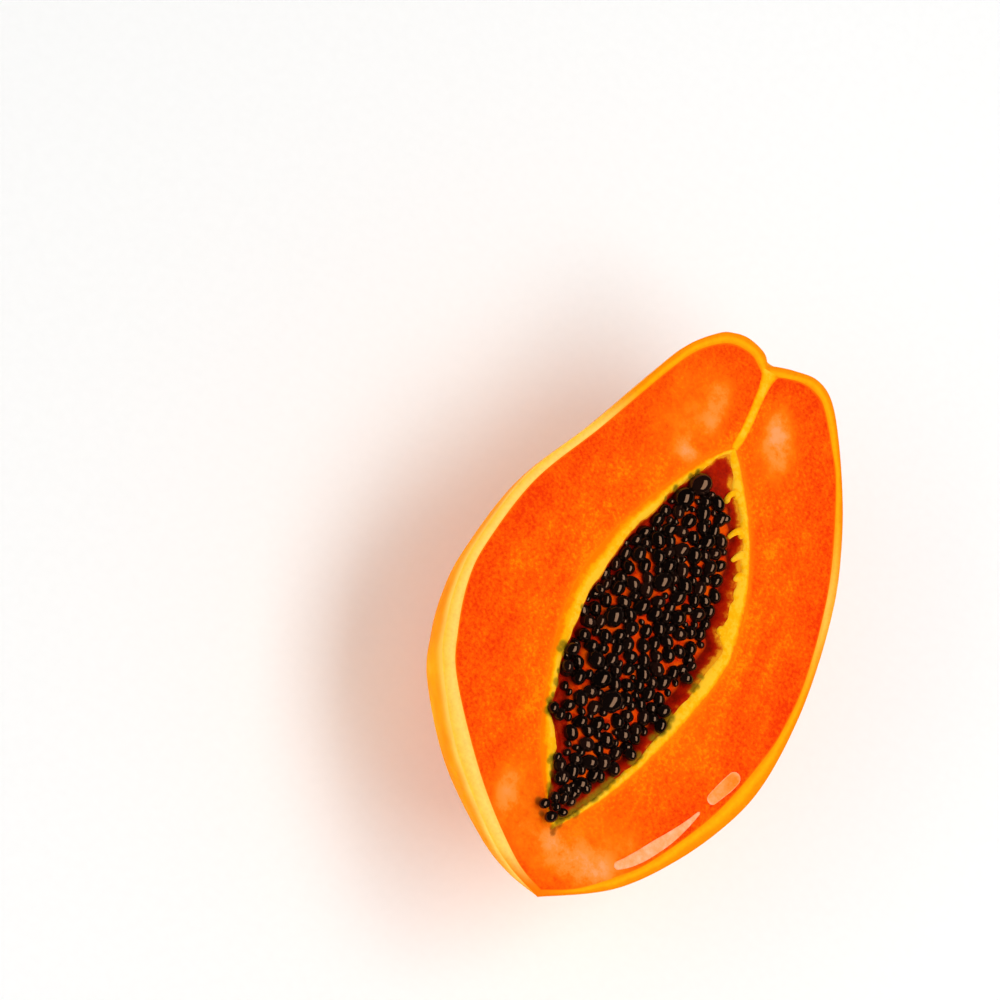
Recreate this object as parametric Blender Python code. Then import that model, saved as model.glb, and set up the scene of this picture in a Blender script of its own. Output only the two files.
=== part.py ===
"""Half a ripe papaya, cut lengthwise from stem to blossom end, lying on its rounded back with the cut face up.

It is built from four nested solids, each a loft of half-ellipse sections between a right and a left rim curve
that lie in the cut plane: the rind, the flesh inside it, the fibrous lining of the seed cavity with the core
strand that runs from it to the stem, and the seeds with the pulp that holds them together.

Lengths below are in millimetres and become metres as the vertices are made. Until the last step a point is
measured from the stem notch: x across the cut face, y along the core towards the stem, z up from the cut plane.
"""

import math
import random

import bmesh
import bpy
from mathutils import Vector

MM = 0.001

# The cut face: rim points from the stem notch, over the shoulder beside it, to the pointed blossom end.
RIGHT_RIM = [
    (0, 0), (3.8, 1.9), (10.5, 4.2), (20, 6), (28.5, 2), (37.5, -10.5), (48, -30), (55.2, -47.5), (60.6, -66),
    (64, -89.5), (65, -114), (62.6, -140), (56.4, -159.5), (43.2, -182.6), (25.2, -203.7), (0, -220),
]
LEFT_RIM = [
    (0, 0), (-3.1, 3.8), (-10.7, 5.6), (-17, 4.3), (-22.5, 1), (-31.5, -9.5), (-38.8, -24.5), (-52.3, -55.5),
    (-67, -86), (-73.8, -117), (-74.4, -133.5), (-71.9, -149), (-66.8, -163.4), (-49.6, -187.6), (-28, -207),
    (-14.2, -215.4), (0, -220),
]
# Where the orange flesh begins inside the rind, which is thickest at the lower right.
FLESH_RIGHT = [
    (0, -4.5), (8.6, -0.3), (15.7, 1.7), (21.8, 1), (27, -2.3), (35.7, -14), (43.5, -27), (54.2, -55.6),
    (59.2, -78), (61.8, -101), (61.3, -117), (58.8, -132.4), (49.3, -161), (34, -188), (23.5, -200), (12, -210.5),
    (0, -217.4),
]
FLESH_LEFT = [
    (0, -4.5), (-4.6, -1), (-8.2, 0.6), (-14.8, 0.4), (-20.6, -2.6), (-28, -10.5), (-35.2, -24), (-49.4, -56),
    (-63.7, -86.5), (-70.3, -116), (-70.8, -132), (-66.7, -150), (-59.5, -166), (-36.2, -193), (-13.6, -211.6),
    (0, -217.4),
]
# The seed cavity's edge on the cut face, from the end of the core strand to the blossom end.
CAVITY_RIGHT = [
    (1, -34.5), (9, -44.2), (20.4, -63.2), (28.4, -84), (31.8, -104), (30.9, -116), (26, -134.4), (19.3, -153.2),
    (9.6, -174.6), (-0.5, -190), (-5.5, -196.5),
]
CAVITY_LEFT = [
    (1, -34.5), (-6.2, -42.4), (-12, -51.3), (-21.4, -69.6), (-29.6, -89.9), (-34.1, -111.2), (-33, -131.2),
    (-28.9, -149.2), (-22.3, -169.8), (-11.6, -187.9), (-5.5, -196.5),
]
# The inner edge of the cavity's yellow lining.
LINING_RIGHT = [
    (1, -39.6), (6.2, -46.5), (17.5, -65), (24.9, -86), (27, -106), (25.6, -118), (21.6, -134.4), (14.6, -152.5),
    (5.1, -174.2), (-4.9, -190),
]
LINING_LEFT = [
    (1, -39.6), (-4.8, -46.2), (-10.4, -54.9), (-19.7, -74.5), (-27.6, -94.5), (-30.8, -113), (-30.3, -130),
    (-26.2, -148), (-18.9, -168), (-11, -184), (-4.9, -190),
]

DEPTH_RATIO = 0.98          # a section's depth below the cut plane, as a share of its half width
REST_FLAT_DEPTH = 2.4       # how much of the back is pressed flat where the half lies
GAP = 0.3                   # air left between two pieces that touch
MITRE_LIMIT = 0.4           # the sharpest corner that an inset outline still follows, as a cosine
SHARP_ANGLE = 50            # degrees between faces above which an edge isn't shaded smooth
RIB_COUNT = 5               # a papaya has five faint ribs
RIB_HEIGHT = 0.008          # as a share of a section's radius

ROWS = 34                   # sections from stem to blossom end
ROW_CROWDING = 0.3          # 0 spaces the sections evenly, 1 draws them towards both ends by a cosine
RIND_COLUMNS = 18           # faces round each section of the rind
CAVITY_COLUMNS = 12
BED_COLUMNS = 8             # faces across the top of the seed bed

STRAND_X = 1.2
STRAND_START_Y = -5
STRAND_END_Y = -39
STRAND_HALF_WIDTHS = (2.4, 1.9)
STRAND_DEPTH = 3.2
STRAND_RISE = 0.3           # its fibres stand a little out of the cut
STRAND_SIDES = 6            # faces round the buried side of the strand
GROOVE_START_Y = 2          # the groove for it is cut past the flesh's end and above the cut plane
GROOVE_TOP = 2

STALK_STATIONS = 8          # seed stalks left standing on the right wall
STALK_Y_RANGE = (-50, -146)
STALK_LENGTHS = (2.6, 4.4)
STALK_ROOT_RADIUS = 1.5
STALK_TIP_RADIUS = 0.8
STALK_DEPTH = 2.2
STALK_ROOT = 2.2
STALK_SIDES = 6

BED_WIDTH = 0.88            # the seed bed's shares of the cavity's half width and half length
BED_LENGTH = 0.92
BED_EDGE_DROP = 0.2         # its edge's depth and its full depth, as shares of the cavity's depth
BED_DEPTH = 0.97
BED_CROWN = 0.6             # how much of the edge's drop the middle of the bed makes up

SEED_DRAW = 41              # the random draw that places the seeds
SEED_RADII = (3.6, 2.3)     # from the largest to the smallest
SEED_COUNT = 215
SEED_TRIES = 400
SEED_SPACING = 0.8          # least distance between two seeds, as a share of their radii together
SEED_LENGTH = 1.14          # a seed's length and width, as shares of its mean radius
SEED_WIDTH = 0.92
SEED_LIFT = 0.25            # height of a seed's centre over the bed, as a share of its radius
SEED_WALL_GAP = 1.6
SEED_RIGHT_GAP = 5.2        # room for the stalks
SEED_SUBDIVISIONS = 1
SEED_TIP = 0.5              # how far a seed may tip off the level, in radians
BARE_PULP = (2, -47.5, 6)   # x, y and radius of the seedless patch near the core strand
SEEDS_BY_HAND = [           # x, y and radius of the largest seeds and of the one nearest the blossom end
    (-5.7, -55, 4.5), (-9, -62, 4.2), (-15.2, -115, 4.2), (-4, -94.6, 3.9), (-10.5, -138.5, 3.9), (-4, -144.3, 4.7),
    (-6.6, -182.4, 2.3),
]

RIND_GOLD = (0.95, 0.42, 0.02)
FLESH_ORANGE = (0.95, 0.13, 0.01)
LINING_YELLOW = (0.98, 0.56, 0.06)
SEED_BLACK = (0.015, 0.009, 0.007)


def clear_scene():
    for thing in list(bpy.data.objects):
        bpy.data.objects.remove(thing)


def catmull_rom(points, steps=12):
    """A dense smooth line through the points, in the cut plane."""
    ends = [points[0]] + list(points) + [points[-1]]
    line = []
    for before, start, end, after in zip(ends, ends[1:], ends[2:], ends[3:]):
        for step in range(steps):
            u = step / steps
            line.append(tuple(
                0.5 * (2 * b + (c - a) * u + (2 * a - 5 * b + 4 * c - d) * u**2 + (3 * b - a - 3 * c + d) * u**3)
                for a, b, c, d in zip(before, start, end, after)
            ))
    line.append(points[-1])
    return line


def resample(line, count):
    """count + 1 points along a line, closer together towards both ends."""
    lengths = [0.0]
    for a, b in zip(line, line[1:]):
        lengths.append(lengths[-1] + math.dist(a, b))
    spaced = []
    index = 0
    for i in range(count + 1):
        even = i / count
        goal = lengths[-1] * (even + ROW_CROWDING * ((1 - math.cos(math.pi * even)) / 2 - even))
        while index < len(line) - 2 and lengths[index + 1] < goal:
            index += 1
        share = (goal - lengths[index]) / (lengths[index + 1] - lengths[index])
        spaced.append(tuple(p + (q - p) * share for p, q in zip(line[index], line[index + 1])))
    return spaced


def rims(right, left):
    """Right and left rim as matching lists of (x, y)."""
    return resample(catmull_rom(right), ROWS), resample(catmull_rom(left), ROWS)


def inset(pair, distance):
    """The same two rims moved inwards by a distance, with mitred corners at the notch and the tip."""
    right, left = pair
    loop = right + left[-2:0:-1]
    moved = []
    for i, point in enumerate(loop):
        before, after = loop[i - 1], loop[(i + 1) % len(loop)]
        first = Vector((point[0] - before[0], point[1] - before[1])).normalized()
        second = Vector((after[0] - point[0], after[1] - point[1])).normalized()
        normals = [Vector((edge.y, -edge.x)) for edge in (first, second)]
        middle = (normals[0] + normals[1]).normalized()
        reach = distance / max(middle.dot(normals[0]), MITRE_LIMIT)
        moved.append((point[0] + middle.x * reach, point[1] + middle.y * reach))
    return moved[:ROWS + 1], [moved[0]] + moved[:ROWS - 1:-1]


def shell_point(right, left, angle, ribs=0.0):
    """The point at an angle round the section between two rim points: 0 is the right rim, pi the left one."""
    centre = (right[0] + left[0]) / 2
    half = (right[0] - left[0]) / 2
    swell = 1 + ribs * math.cos(RIB_COUNT * (angle - math.pi / 2)) * math.sin(angle)
    y = (right[1] + left[1]) / 2 + (right[1] - left[1]) / 2 * math.cos(angle)
    return Vector((centre + half * swell * math.cos(angle), y, -DEPTH_RATIO * half * swell * math.sin(angle)))


def bowl(bm, pair, columns, shape=shell_point):
    """Adds one bowl surface between two rims. Returns its right and left rim vertices, stem to blossom end."""
    right, left = pair
    rows = []
    for i, (r, l) in enumerate(zip(right, left)):
        if i in (0, ROWS):
            rows.append([bm.verts.new(shape(r, l, 0) * MM)] * (columns + 1))
        else:
            rows.append([bm.verts.new(shape(r, l, math.pi * j / columns) * MM) for j in range(columns + 1)])
    for upper, lower in zip(rows, rows[1:]):
        for j in range(columns):
            add_face(bm, upper[j], upper[j + 1], lower[j + 1], lower[j])
    return [row[0] for row in rows], [row[-1] for row in rows]


def add_face(bm, *corners):
    """One face, with the corners that coincide at a pole taken once."""
    once = list(dict.fromkeys(corners))
    if len(once) > 2:
        bm.faces.new(once)


def close_rims(bm, outer, inner):
    """The flat band on the cut plane between two bowls' rims."""
    for outer_side, inner_side in zip(outer, inner):
        for i in range(ROWS):
            add_face(bm, outer_side[i], outer_side[i + 1], inner_side[i + 1], inner_side[i])


def flatten_back(bm, depth):
    """Presses a small flat spot into the back, where the half lies."""
    level = min(v.co.z for v in bm.verts) + depth * MM
    bmesh.ops.bisect_plane(
        bm, geom=bm.verts[:] + bm.edges[:] + bm.faces[:], dist=1e-7,
        plane_co=(0, 0, level), plane_no=(0, 0, -1), clear_outer=True,
    )
    lowest = [e for e in bm.edges if e.is_boundary and (e.verts[0].co.z + e.verts[1].co.z) / 2 < level + 1e-6]
    bmesh.ops.holes_fill(bm, edges=lowest, sides=0)


def finished(name, bm, material):
    """An object made from a bmesh, with its faces pointing out and its curved parts smooth."""
    bmesh.ops.recalc_face_normals(bm, faces=bm.faces[:])
    mesh = bpy.data.meshes.new(name)
    bm.to_mesh(mesh)
    bm.free()
    mesh.materials.append(material)
    mesh.shade_smooth()
    mesh.set_sharp_from_angle(angle=math.radians(SHARP_ANGLE))
    made = bpy.data.objects.new(name, mesh)
    bpy.context.scene.collection.objects.link(made)
    return made


def coloured(name, colour, roughness):
    material = bpy.data.materials.new(name)
    material.use_nodes = True
    shader = material.node_tree.nodes["Principled BSDF"]
    shader.inputs["Base Color"].default_value = (*colour, 1)
    shader.inputs["Roughness"].default_value = roughness
    shader.inputs["Metallic"].default_value = 0
    return material


def boolean(target, tool, operation):
    """Joins or cuts target with an object or a collection, which is then removed."""
    modifier = target.modifiers.new(operation.lower(), "BOOLEAN")
    modifier.operation = operation
    modifier.solver = "EXACT"
    if isinstance(tool, bpy.types.Collection):
        modifier.operand_type = "COLLECTION"
        modifier.collection = tool
        spent = list(tool.objects)
    else:
        modifier.object = tool
        spent = [tool]
    bpy.context.view_layer.update()
    evaluated = target.evaluated_get(bpy.context.evaluated_depsgraph_get())
    result = bpy.data.meshes.new_from_object(evaluated)
    target.modifiers.clear()
    target.data = result
    for piece in spent:
        bpy.data.objects.remove(piece)
    if isinstance(tool, bpy.types.Collection):
        bpy.data.collections.remove(tool)


def rind(outline, flesh_edge):
    """The golden skin with the firm yellow flesh under it, flattened where the half lies."""
    bm = bmesh.new()
    outer = bowl(bm, outline, RIND_COLUMNS, lambda r, l, angle: shell_point(r, l, angle, RIB_HEIGHT))
    flatten_back(bm, REST_FLAT_DEPTH)
    inner = bowl(bm, flesh_edge, RIND_COLUMNS)
    close_rims(bm, outer, inner)
    return finished("rind", bm, coloured("rind_gold", RIND_GOLD, 0.4))


def strand_bar(name, stem_y, margin, top, material):
    """A half-round bar along the core: the strand itself or, with a margin and a high top, the groove for it."""
    bm = bmesh.new()
    ends = []
    for y, half in zip((stem_y, STRAND_END_Y), STRAND_HALF_WIDTHS):
        reach = half + margin
        angles = [math.pi * k / STRAND_SIDES for k in range(STRAND_SIDES + 1)]
        arc = [
            Vector((STRAND_X + reach * math.cos(a), y, -(STRAND_DEPTH + margin) * math.sin(a))) for a in angles
        ]
        corners = [Vector((STRAND_X + side * reach, y, top)) for side in (1, -1)]
        ends.append([bm.verts.new(p * MM) for p in (corners[0], *arc, corners[1])])
    stem, cavity = ends
    bm.faces.new(stem)
    bm.faces.new(cavity)
    for k in range(len(stem)):
        following = (k + 1) % len(stem)
        bm.faces.new((stem[k], stem[following], cavity[following], cavity[k]))
    return finished(name, bm, material)


def flesh(flesh_edge, cavity):
    """The orange flesh, with the hollow for the seeds and a groove for the core strand."""
    material = coloured("flesh_orange", FLESH_ORANGE, 0.35)
    bm = bmesh.new()
    outer = bowl(bm, inset(flesh_edge, GAP), RIND_COLUMNS)
    hollow = bowl(bm, cavity, CAVITY_COLUMNS)
    close_rims(bm, outer, hollow)
    body = finished("flesh", bm, material)
    boolean(body, strand_bar("strand_groove", GROOVE_START_Y, GAP, GROOVE_TOP, material), "DIFFERENCE")
    return body


def half_section(pair, y):
    """Centre and half width of the outline at a distance y along the core."""
    sides = []
    for side in pair:
        low = next(i for i in range(1, len(side)) if side[i][1] <= y or i == len(side) - 1)
        above, below = side[low - 1], side[low]
        share = min(max((above[1] - y) / (above[1] - below[1]), 0), 1)
        sides.append(above[0] + (below[0] - above[0]) * share)
    return (sides[0] + sides[1]) / 2, (sides[0] - sides[1]) / 2


def seed_stalk(name, x, y, length, material):
    """One tapered stalk on the right wall, pointing into the cavity, with its root sunk in the lining."""
    bm = bmesh.new()
    bmesh.ops.create_cone(
        bm, cap_ends=True, segments=STALK_SIDES, radius1=STALK_ROOT_RADIUS * MM, radius2=STALK_TIP_RADIUS * MM,
        depth=(length + STALK_ROOT) * MM,
    )
    stalk = finished(name, bm, material)
    stalk.rotation_euler = (0, math.radians(-90), 0)
    stalk.location = Vector((x + (STALK_ROOT - length) / 2, y, -STALK_DEPTH)) * MM
    return stalk


def lining(cavity, wall):
    """The fibrous yellow lining of the cavity, with the core strand and the stalks that seeds hung on."""
    material = coloured("lining_yellow", LINING_YELLOW, 0.5)
    bm = bmesh.new()
    outer = bowl(bm, inset(cavity, GAP), CAVITY_COLUMNS)
    inner = bowl(bm, wall, CAVITY_COLUMNS)
    close_rims(bm, outer, inner)
    body = finished("cavity_lining", bm, material)
    grown = bpy.data.collections.new("grown_on_lining")
    bpy.context.scene.collection.children.link(grown)
    pieces = [strand_bar("core_strand", STRAND_START_Y, 0, STRAND_RISE, material)]
    draw = random.Random(SEED_DRAW)
    for k in range(STALK_STATIONS):
        y = STALK_Y_RANGE[0] + (STALK_Y_RANGE[1] - STALK_Y_RANGE[0]) * k / (STALK_STATIONS - 1)
        centre, half = half_section(wall, y)
        pieces.append(seed_stalk(f"stalk_{k}", centre + half, y, draw.uniform(*STALK_LENGTHS), material))
    for piece in pieces:
        bpy.context.scene.collection.objects.unlink(piece)
        grown.objects.link(piece)
    boolean(body, grown, "UNION")
    return body


def bed_height(wall, x, y):
    """Height of the seed bed's top under the cut plane: lowest at the cavity's wall, crowned in the middle."""
    centre, half = half_section(wall, y)
    across = min(abs(x - centre) / max(half * BED_WIDTH, 1), 1)
    return -BED_EDGE_DROP * DEPTH_RATIO * half * (1 - BED_CROWN * (1 - across**2))


def bed_point(right, left, angle):
    """A point of the seed bed's underside, which stays inside the lining."""
    centre = (right[0] + left[0]) / 2
    half = (right[0] - left[0]) / 2
    depth = BED_EDGE_DROP + (BED_DEPTH - BED_EDGE_DROP) * math.sin(angle)
    y = (right[1] + left[1]) / 2 + (right[1] - left[1]) / 2 * math.cos(angle)
    return Vector((centre + half * BED_WIDTH * math.cos(angle), y, -DEPTH_RATIO * half * depth))


def place_seeds(wall):
    """(x, y, radius) of every seed: the largest by hand, the rest thrown at random, large before small."""
    draw = random.Random(SEED_DRAW)
    placed = list(SEEDS_BY_HAND)
    top, bottom = wall[0][0][1], wall[0][-1][1]
    for number in range(SEED_COUNT - len(placed)):
        radius = SEED_RADII[0] + (SEED_RADII[1] - SEED_RADII[0]) * (number / SEED_COUNT)**0.4
        for _ in range(SEED_TRIES):
            y = draw.uniform(bottom, top)
            centre, half = half_section(wall, y)
            room = half - radius - SEED_WALL_GAP
            if room < 0:
                continue
            x = centre + draw.uniform(-room, room)
            near_right = centre + half - x - radius < SEED_RIGHT_GAP and y > STALK_Y_RANGE[1]
            in_patch = math.dist((x, y), BARE_PULP[:2]) < BARE_PULP[2] + radius
            too_close = any(math.dist((x, y), s[:2]) < SEED_SPACING * (radius + s[2]) for s in placed)
            if not (near_right or in_patch or too_close):
                placed.append((x, y, radius))
                break
    return placed


def seed(name, place, height, draw, material):
    """One egg-shaped seed at its place on the bed, lying in a random direction."""
    x, y, radius = place
    bm = bmesh.new()
    bmesh.ops.create_icosphere(bm, subdivisions=SEED_SUBDIVISIONS, radius=radius * MM)
    bmesh.ops.scale(bm, vec=(SEED_LENGTH, SEED_WIDTH, SEED_WIDTH), verts=bm.verts[:])
    made = finished(name, bm, material)
    made.rotation_euler = (draw.uniform(0, math.tau), draw.uniform(-SEED_TIP, SEED_TIP), draw.uniform(0, math.tau))
    made.location = Vector((x, y, height + SEED_LIFT * radius)) * MM
    return made


def seeds(wall):
    """The black seeds, standing out of the bed that holds them together in the cavity."""
    material = coloured("seed_black", SEED_BLACK, 0.2)
    middle = (wall[0][0][1] + wall[0][-1][1]) / 2
    bed = tuple([(x, middle + (y - middle) * BED_LENGTH) for x, y in side] for side in wall)
    bm = bmesh.new()
    under_right, under_left = bowl(bm, bed, CAVITY_COLUMNS, bed_point)
    rows = [[right] + [None] * (BED_COLUMNS - 1) + [left] for right, left in zip(under_right, under_left)]
    for row in rows[1:-1]:
        right, left = row[0].co / MM, row[-1].co / MM
        for j in range(1, BED_COLUMNS):
            point = right.lerp(left, j / BED_COLUMNS)
            point.z = bed_height(wall, point.x, point.y)
            row[j] = bm.verts.new(point * MM)
    for pole in (rows[0], rows[-1]):
        pole[1:-1] = [pole[0]] * (BED_COLUMNS - 1)
    for upper, lower in zip(rows, rows[1:]):
        for j in range(BED_COLUMNS):
            add_face(bm, upper[j], upper[j + 1], lower[j + 1], lower[j])
    body = finished("seeds", bm, material)
    scattered = bpy.data.collections.new("scattered_seeds")
    bpy.context.scene.collection.children.link(scattered)
    draw = random.Random(SEED_DRAW)
    for number, place in enumerate(place_seeds(wall)):
        piece = seed(f"seed_{number}", place, bed_height(wall, place[0], place[1]), draw, material)
        bpy.context.scene.collection.objects.unlink(piece)
        scattered.objects.link(piece)
    boolean(body, scattered, "UNION")
    return body


def stand_on_origin(pieces, base):
    """Moves every piece so that the base piece's box stands on the origin."""
    corners = [base.matrix_world @ v.co for v in base.data.vertices]
    low = Vector([min(c[k] for c in corners) for k in range(3)])
    high = Vector([max(c[k] for c in corners) for k in range(3)])
    for piece in pieces:
        piece.location -= Vector(((low.x + high.x) / 2, (low.y + high.y) / 2, low.z))


def main():
    clear_scene()
    outline = rims(RIGHT_RIM, LEFT_RIM)
    flesh_edge = rims(FLESH_RIGHT, FLESH_LEFT)
    cavity = rims(CAVITY_RIGHT, CAVITY_LEFT)
    wall = rims(LINING_RIGHT, LINING_LEFT)
    pieces = [rind(outline, flesh_edge), flesh(flesh_edge, cavity), lining(cavity, wall), seeds(wall)]
    stand_on_origin(pieces, pieces[0])


main()
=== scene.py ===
"""Half a ripe papaya on a pale table, cut face up.

The fruit is put together from the outside in: rind, flesh, the lining of the seed cavity, its pulp and its seeds.
Lengths are millimetres from the stem notch: x across the cut face, y along the core towards the stem, z up from
the cut plane. They become metres in the frame as the vertices are made.
"""

import math
import random

import bmesh
import bpy
from mathutils import Matrix, Vector, noise


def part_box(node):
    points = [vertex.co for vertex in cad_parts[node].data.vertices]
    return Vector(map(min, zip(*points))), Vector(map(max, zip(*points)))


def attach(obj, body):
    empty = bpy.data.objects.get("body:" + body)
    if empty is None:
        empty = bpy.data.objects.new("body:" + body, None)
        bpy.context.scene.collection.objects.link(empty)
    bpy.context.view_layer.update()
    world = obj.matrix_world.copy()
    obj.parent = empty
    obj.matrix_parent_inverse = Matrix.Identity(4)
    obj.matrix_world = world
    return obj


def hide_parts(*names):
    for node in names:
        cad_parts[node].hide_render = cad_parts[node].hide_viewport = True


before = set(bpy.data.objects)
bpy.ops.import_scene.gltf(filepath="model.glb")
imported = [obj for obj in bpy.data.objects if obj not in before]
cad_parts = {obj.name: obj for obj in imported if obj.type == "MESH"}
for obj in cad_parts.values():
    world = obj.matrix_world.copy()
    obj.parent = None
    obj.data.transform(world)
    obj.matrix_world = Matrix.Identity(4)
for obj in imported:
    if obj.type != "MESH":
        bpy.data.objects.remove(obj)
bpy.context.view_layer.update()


# The rind: a thin waxy skin and the firm yellow flesh under it, grown as one layer. The knife has gone straight
# through it, so it shows as a smooth band round the cut face with a crisp, barely rounded outer edge.

MM = 0.001
RIGHT_RIM = [
    (0, 0), (3.8, 1.9), (10.5, 4.2), (20, 6), (28.5, 2), (37.5, -10.5), (48, -30), (55.2, -47.5), (60.6, -66),
    (64, -89.5), (65, -114), (62.6, -140), (56.4, -159.5), (43.2, -182.6), (25.2, -203.7), (0, -220),
]
LEFT_RIM = [
    (0, 0), (-3.1, 3.8), (-10.7, 5.6), (-17, 4.3), (-22.5, 1), (-31.5, -9.5), (-38.8, -24.5), (-52.3, -55.5),
    (-67, -86), (-73.8, -117), (-74.4, -133.5), (-71.9, -149), (-66.8, -163.4), (-49.6, -187.6), (-28, -207),
    (-14.2, -215.4), (0, -220),
]
FLESH_RIGHT = [
    (0, -4.5), (8.6, -0.3), (15.7, 1.7), (21.8, 1), (27, -2.3), (35.7, -14), (43.5, -27), (54.2, -55.6),
    (59.2, -78), (61.8, -101), (61.3, -117), (58.8, -132.4), (49.3, -161), (34, -188), (23.5, -200), (12, -210.5),
    (0, -217.4),
]
FLESH_LEFT = [
    (0, -4.5), (-4.6, -1), (-8.2, 0.6), (-14.8, 0.4), (-20.6, -2.6), (-28, -10.5), (-35.2, -24), (-49.4, -56),
    (-63.7, -86.5), (-70.3, -116), (-70.8, -132), (-66.7, -150), (-59.5, -166), (-36.2, -193), (-13.6, -211.6),
    (0, -217.4),
]
ROWS = 280
DEPTH_RATIO = 0.98
RIB_COUNT = 5
RIB_HEIGHT = 0.008
SKIN_COLUMNS = 96
BAND_COLUMNS = 8
ROUND_STEPS = 3
RIND_INNER_COLUMNS = 12
EDGE_ROUND = 0.4            # radius of the rind's cut edge
BAND_HILLS = (0.05, 6, 5)   # height, size and layout of the cut band's faint hills
SKIN_HILLS = (0.3, 30, 0)   # and of the skin's
NEAR_CUT_DEPTH = 3.6        # how far down the skin the pale band by the cut reaches, a painted highlight on the left
PALE_FROM_Y = (-34, -60)    # down the left side the painted highlight on the rind comes in between these
PALE_ON_RIGHT = (-70, 20, 0.5)  # on the right, a faint pale tone: its middle along the fruit, reach and strength
PALE_FADE = 8               # how far from the middle line it takes to come in
ORANGE_FROM_Y = (-210, -219)    # between these the cut turns as orange as the flesh


def smooth_line(points, steps=12):
    """A dense, smooth line that goes through all the points."""
    ends = [points[0]] + list(points) + [points[-1]]
    line = []
    for before, start, end, after in zip(ends, ends[1:], ends[2:], ends[3:]):
        for step in range(steps):
            u = step / steps
            line.append(tuple(
                0.5 * (2 * b + (c - a) * u + (2 * a - 5 * b + 4 * c - d) * u**2 + (3 * b - a - 3 * c + d) * u**3)
                for a, b, c, d in zip(before, start, end, after)
            ))
    line.append(points[-1])
    return line


def spread(points, count, crowding=0.0):
    """count + 1 points along the smooth line; crowding draws them from even spacing towards its ends."""
    line = smooth_line(points)
    lengths = [0.0]
    for a, b in zip(line, line[1:]):
        lengths.append(lengths[-1] + math.dist(a, b))
    spaced = []
    index = 0
    for i in range(count + 1):
        even = i / count
        goal = lengths[-1] * (even + crowding * ((1 - math.cos(math.pi * even)) / 2 - even))
        while index < len(line) - 2 and lengths[index + 1] < goal:
            index += 1
        share = (goal - lengths[index]) / (lengths[index + 1] - lengths[index])
        spaced.append(tuple(p + (q - p) * share for p, q in zip(line[index], line[index + 1])))
    return spaced


def rims(right, left, count=ROWS, crowding=0.0):
    """Pairs of points, right and left, down the two sides of an outline."""
    return list(zip(*(spread(side, count, crowding) for side in (right, left))))


def section_point(right, left, angle, ribs=0.0):
    """A point of the half-round section between two rim points: angle 0 is the right rim, pi the left."""
    centre = (right[0] + left[0]) / 2
    half = (right[0] - left[0]) / 2
    swell = 1 + ribs * math.cos(RIB_COUNT * (angle - math.pi / 2)) * math.sin(angle)
    y = (right[1] + left[1]) / 2 + (right[1] - left[1]) / 2 * math.cos(angle)
    return Vector((centre + half * swell * math.cos(angle), y, -DEPTH_RATIO * half * swell * math.sin(angle)))


outline = rims(RIGHT_RIM, LEFT_RIM)
flesh_edge = rims(FLESH_RIGHT, FLESH_LEFT)
REST_DEPTH = (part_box("flesh")[1].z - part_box("rind")[0].z) / MM
NOTCH = Vector((
    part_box("rind")[0].x - min(left[0] for right, left in outline) * MM,
    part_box("rind")[0].y - RIGHT_RIM[-1][1] * MM,
    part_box("flesh")[1].z,
))


def hills(point, height, size, layout):
    """Smooth hills and hollows up to this height, about this size across, at one of many layouts."""
    return height * noise.noise(Vector((*point, 0)[:3]) / size + Vector((layout, 0, 0)))


def ramp(value, start, end):
    """0 to 1 as the value goes from start to end, with soft ends."""
    share = min(max((value - start) / (end - start), 0), 1)
    return share * share * (3 - 2 * share)


def at_each(rows, value_at):
    """A value worked out at every point of the rows."""
    return [[value_at(point) for point in row] for row in rows]


def loft(name, rows, finishes, finish_of_column, **values):
    """A closed skin through rows of points, each row a ring that shrinks to a line at both ends of the fruit.

    values are numbers carried by every point, in rows like the points', for the materials to read.
    """
    width = len(rows[0])
    mesh = bpy.data.meshes.new(name)
    faces = [
        (i * width + j, i * width + (j + 1) % width, (i + 1) * width + (j + 1) % width, (i + 1) * width + j)
        for i in range(len(rows) - 1) for j in range(width)
    ]
    mesh.from_pydata([NOTCH + point * MM for row in rows for point in row], [], faces)
    mesh.polygons.foreach_set("material_index", list(finish_of_column) * (len(rows) - 1))
    for value_name, value_rows in values.items():
        layer = mesh.attributes.new(value_name, "FLOAT", "POINT")
        layer.data.foreach_set("value", [value for row in value_rows for value in row])
    for finish in finishes:
        mesh.materials.append(finish)
    return welded(name, mesh)


SHARP_ANGLE = math.radians(48)


def put(name, data):
    """A mesh, camera or light as an object in the scene."""
    thing = bpy.data.objects.new(name, data)
    bpy.context.scene.collection.objects.link(thing)
    return thing


def welded(name, mesh):
    """The mesh as an object: coinciding points merged, faces pointing out, smooth but for the knife's corners."""
    bm = bmesh.new()
    bm.from_mesh(mesh)
    bmesh.ops.remove_doubles(bm, verts=bm.verts[:], dist=1e-6)
    bmesh.ops.dissolve_degenerate(bm, dist=1e-7, edges=bm.edges[:])
    bmesh.ops.recalc_face_normals(bm, faces=bm.faces[:])
    bm.to_mesh(mesh)
    bm.free()
    mesh.shade_smooth()
    mesh.set_sharp_from_angle(angle=SHARP_ANGLE)
    return put(name, mesh)


def join_fruit(piece, node):
    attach(piece, "root")
    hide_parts(node)


def linear(hex_colour):
    """An sRGB hex colour as the linear RGBA that the shaders take."""
    channels = [int(hex_colour[k:k + 2], 16) / 255 for k in (1, 3, 5)]
    return (*[c / 12.92 if c <= 0.04045 else ((c + 0.055) / 1.055) ** 2.4 for c in channels], 1)


def per(size):
    """The texture scale that makes a pattern repeat about every size mm."""
    return 1 / (size * MM)


def plug(tree, node, sockets):
    """Sets each socket of a node to its value, or links it to another node's output."""
    for key, value in sockets.items():
        if isinstance(value, bpy.types.NodeSocket):
            tree.links.new(value, node.inputs[key])
        else:
            node.inputs[key].default_value = value


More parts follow.
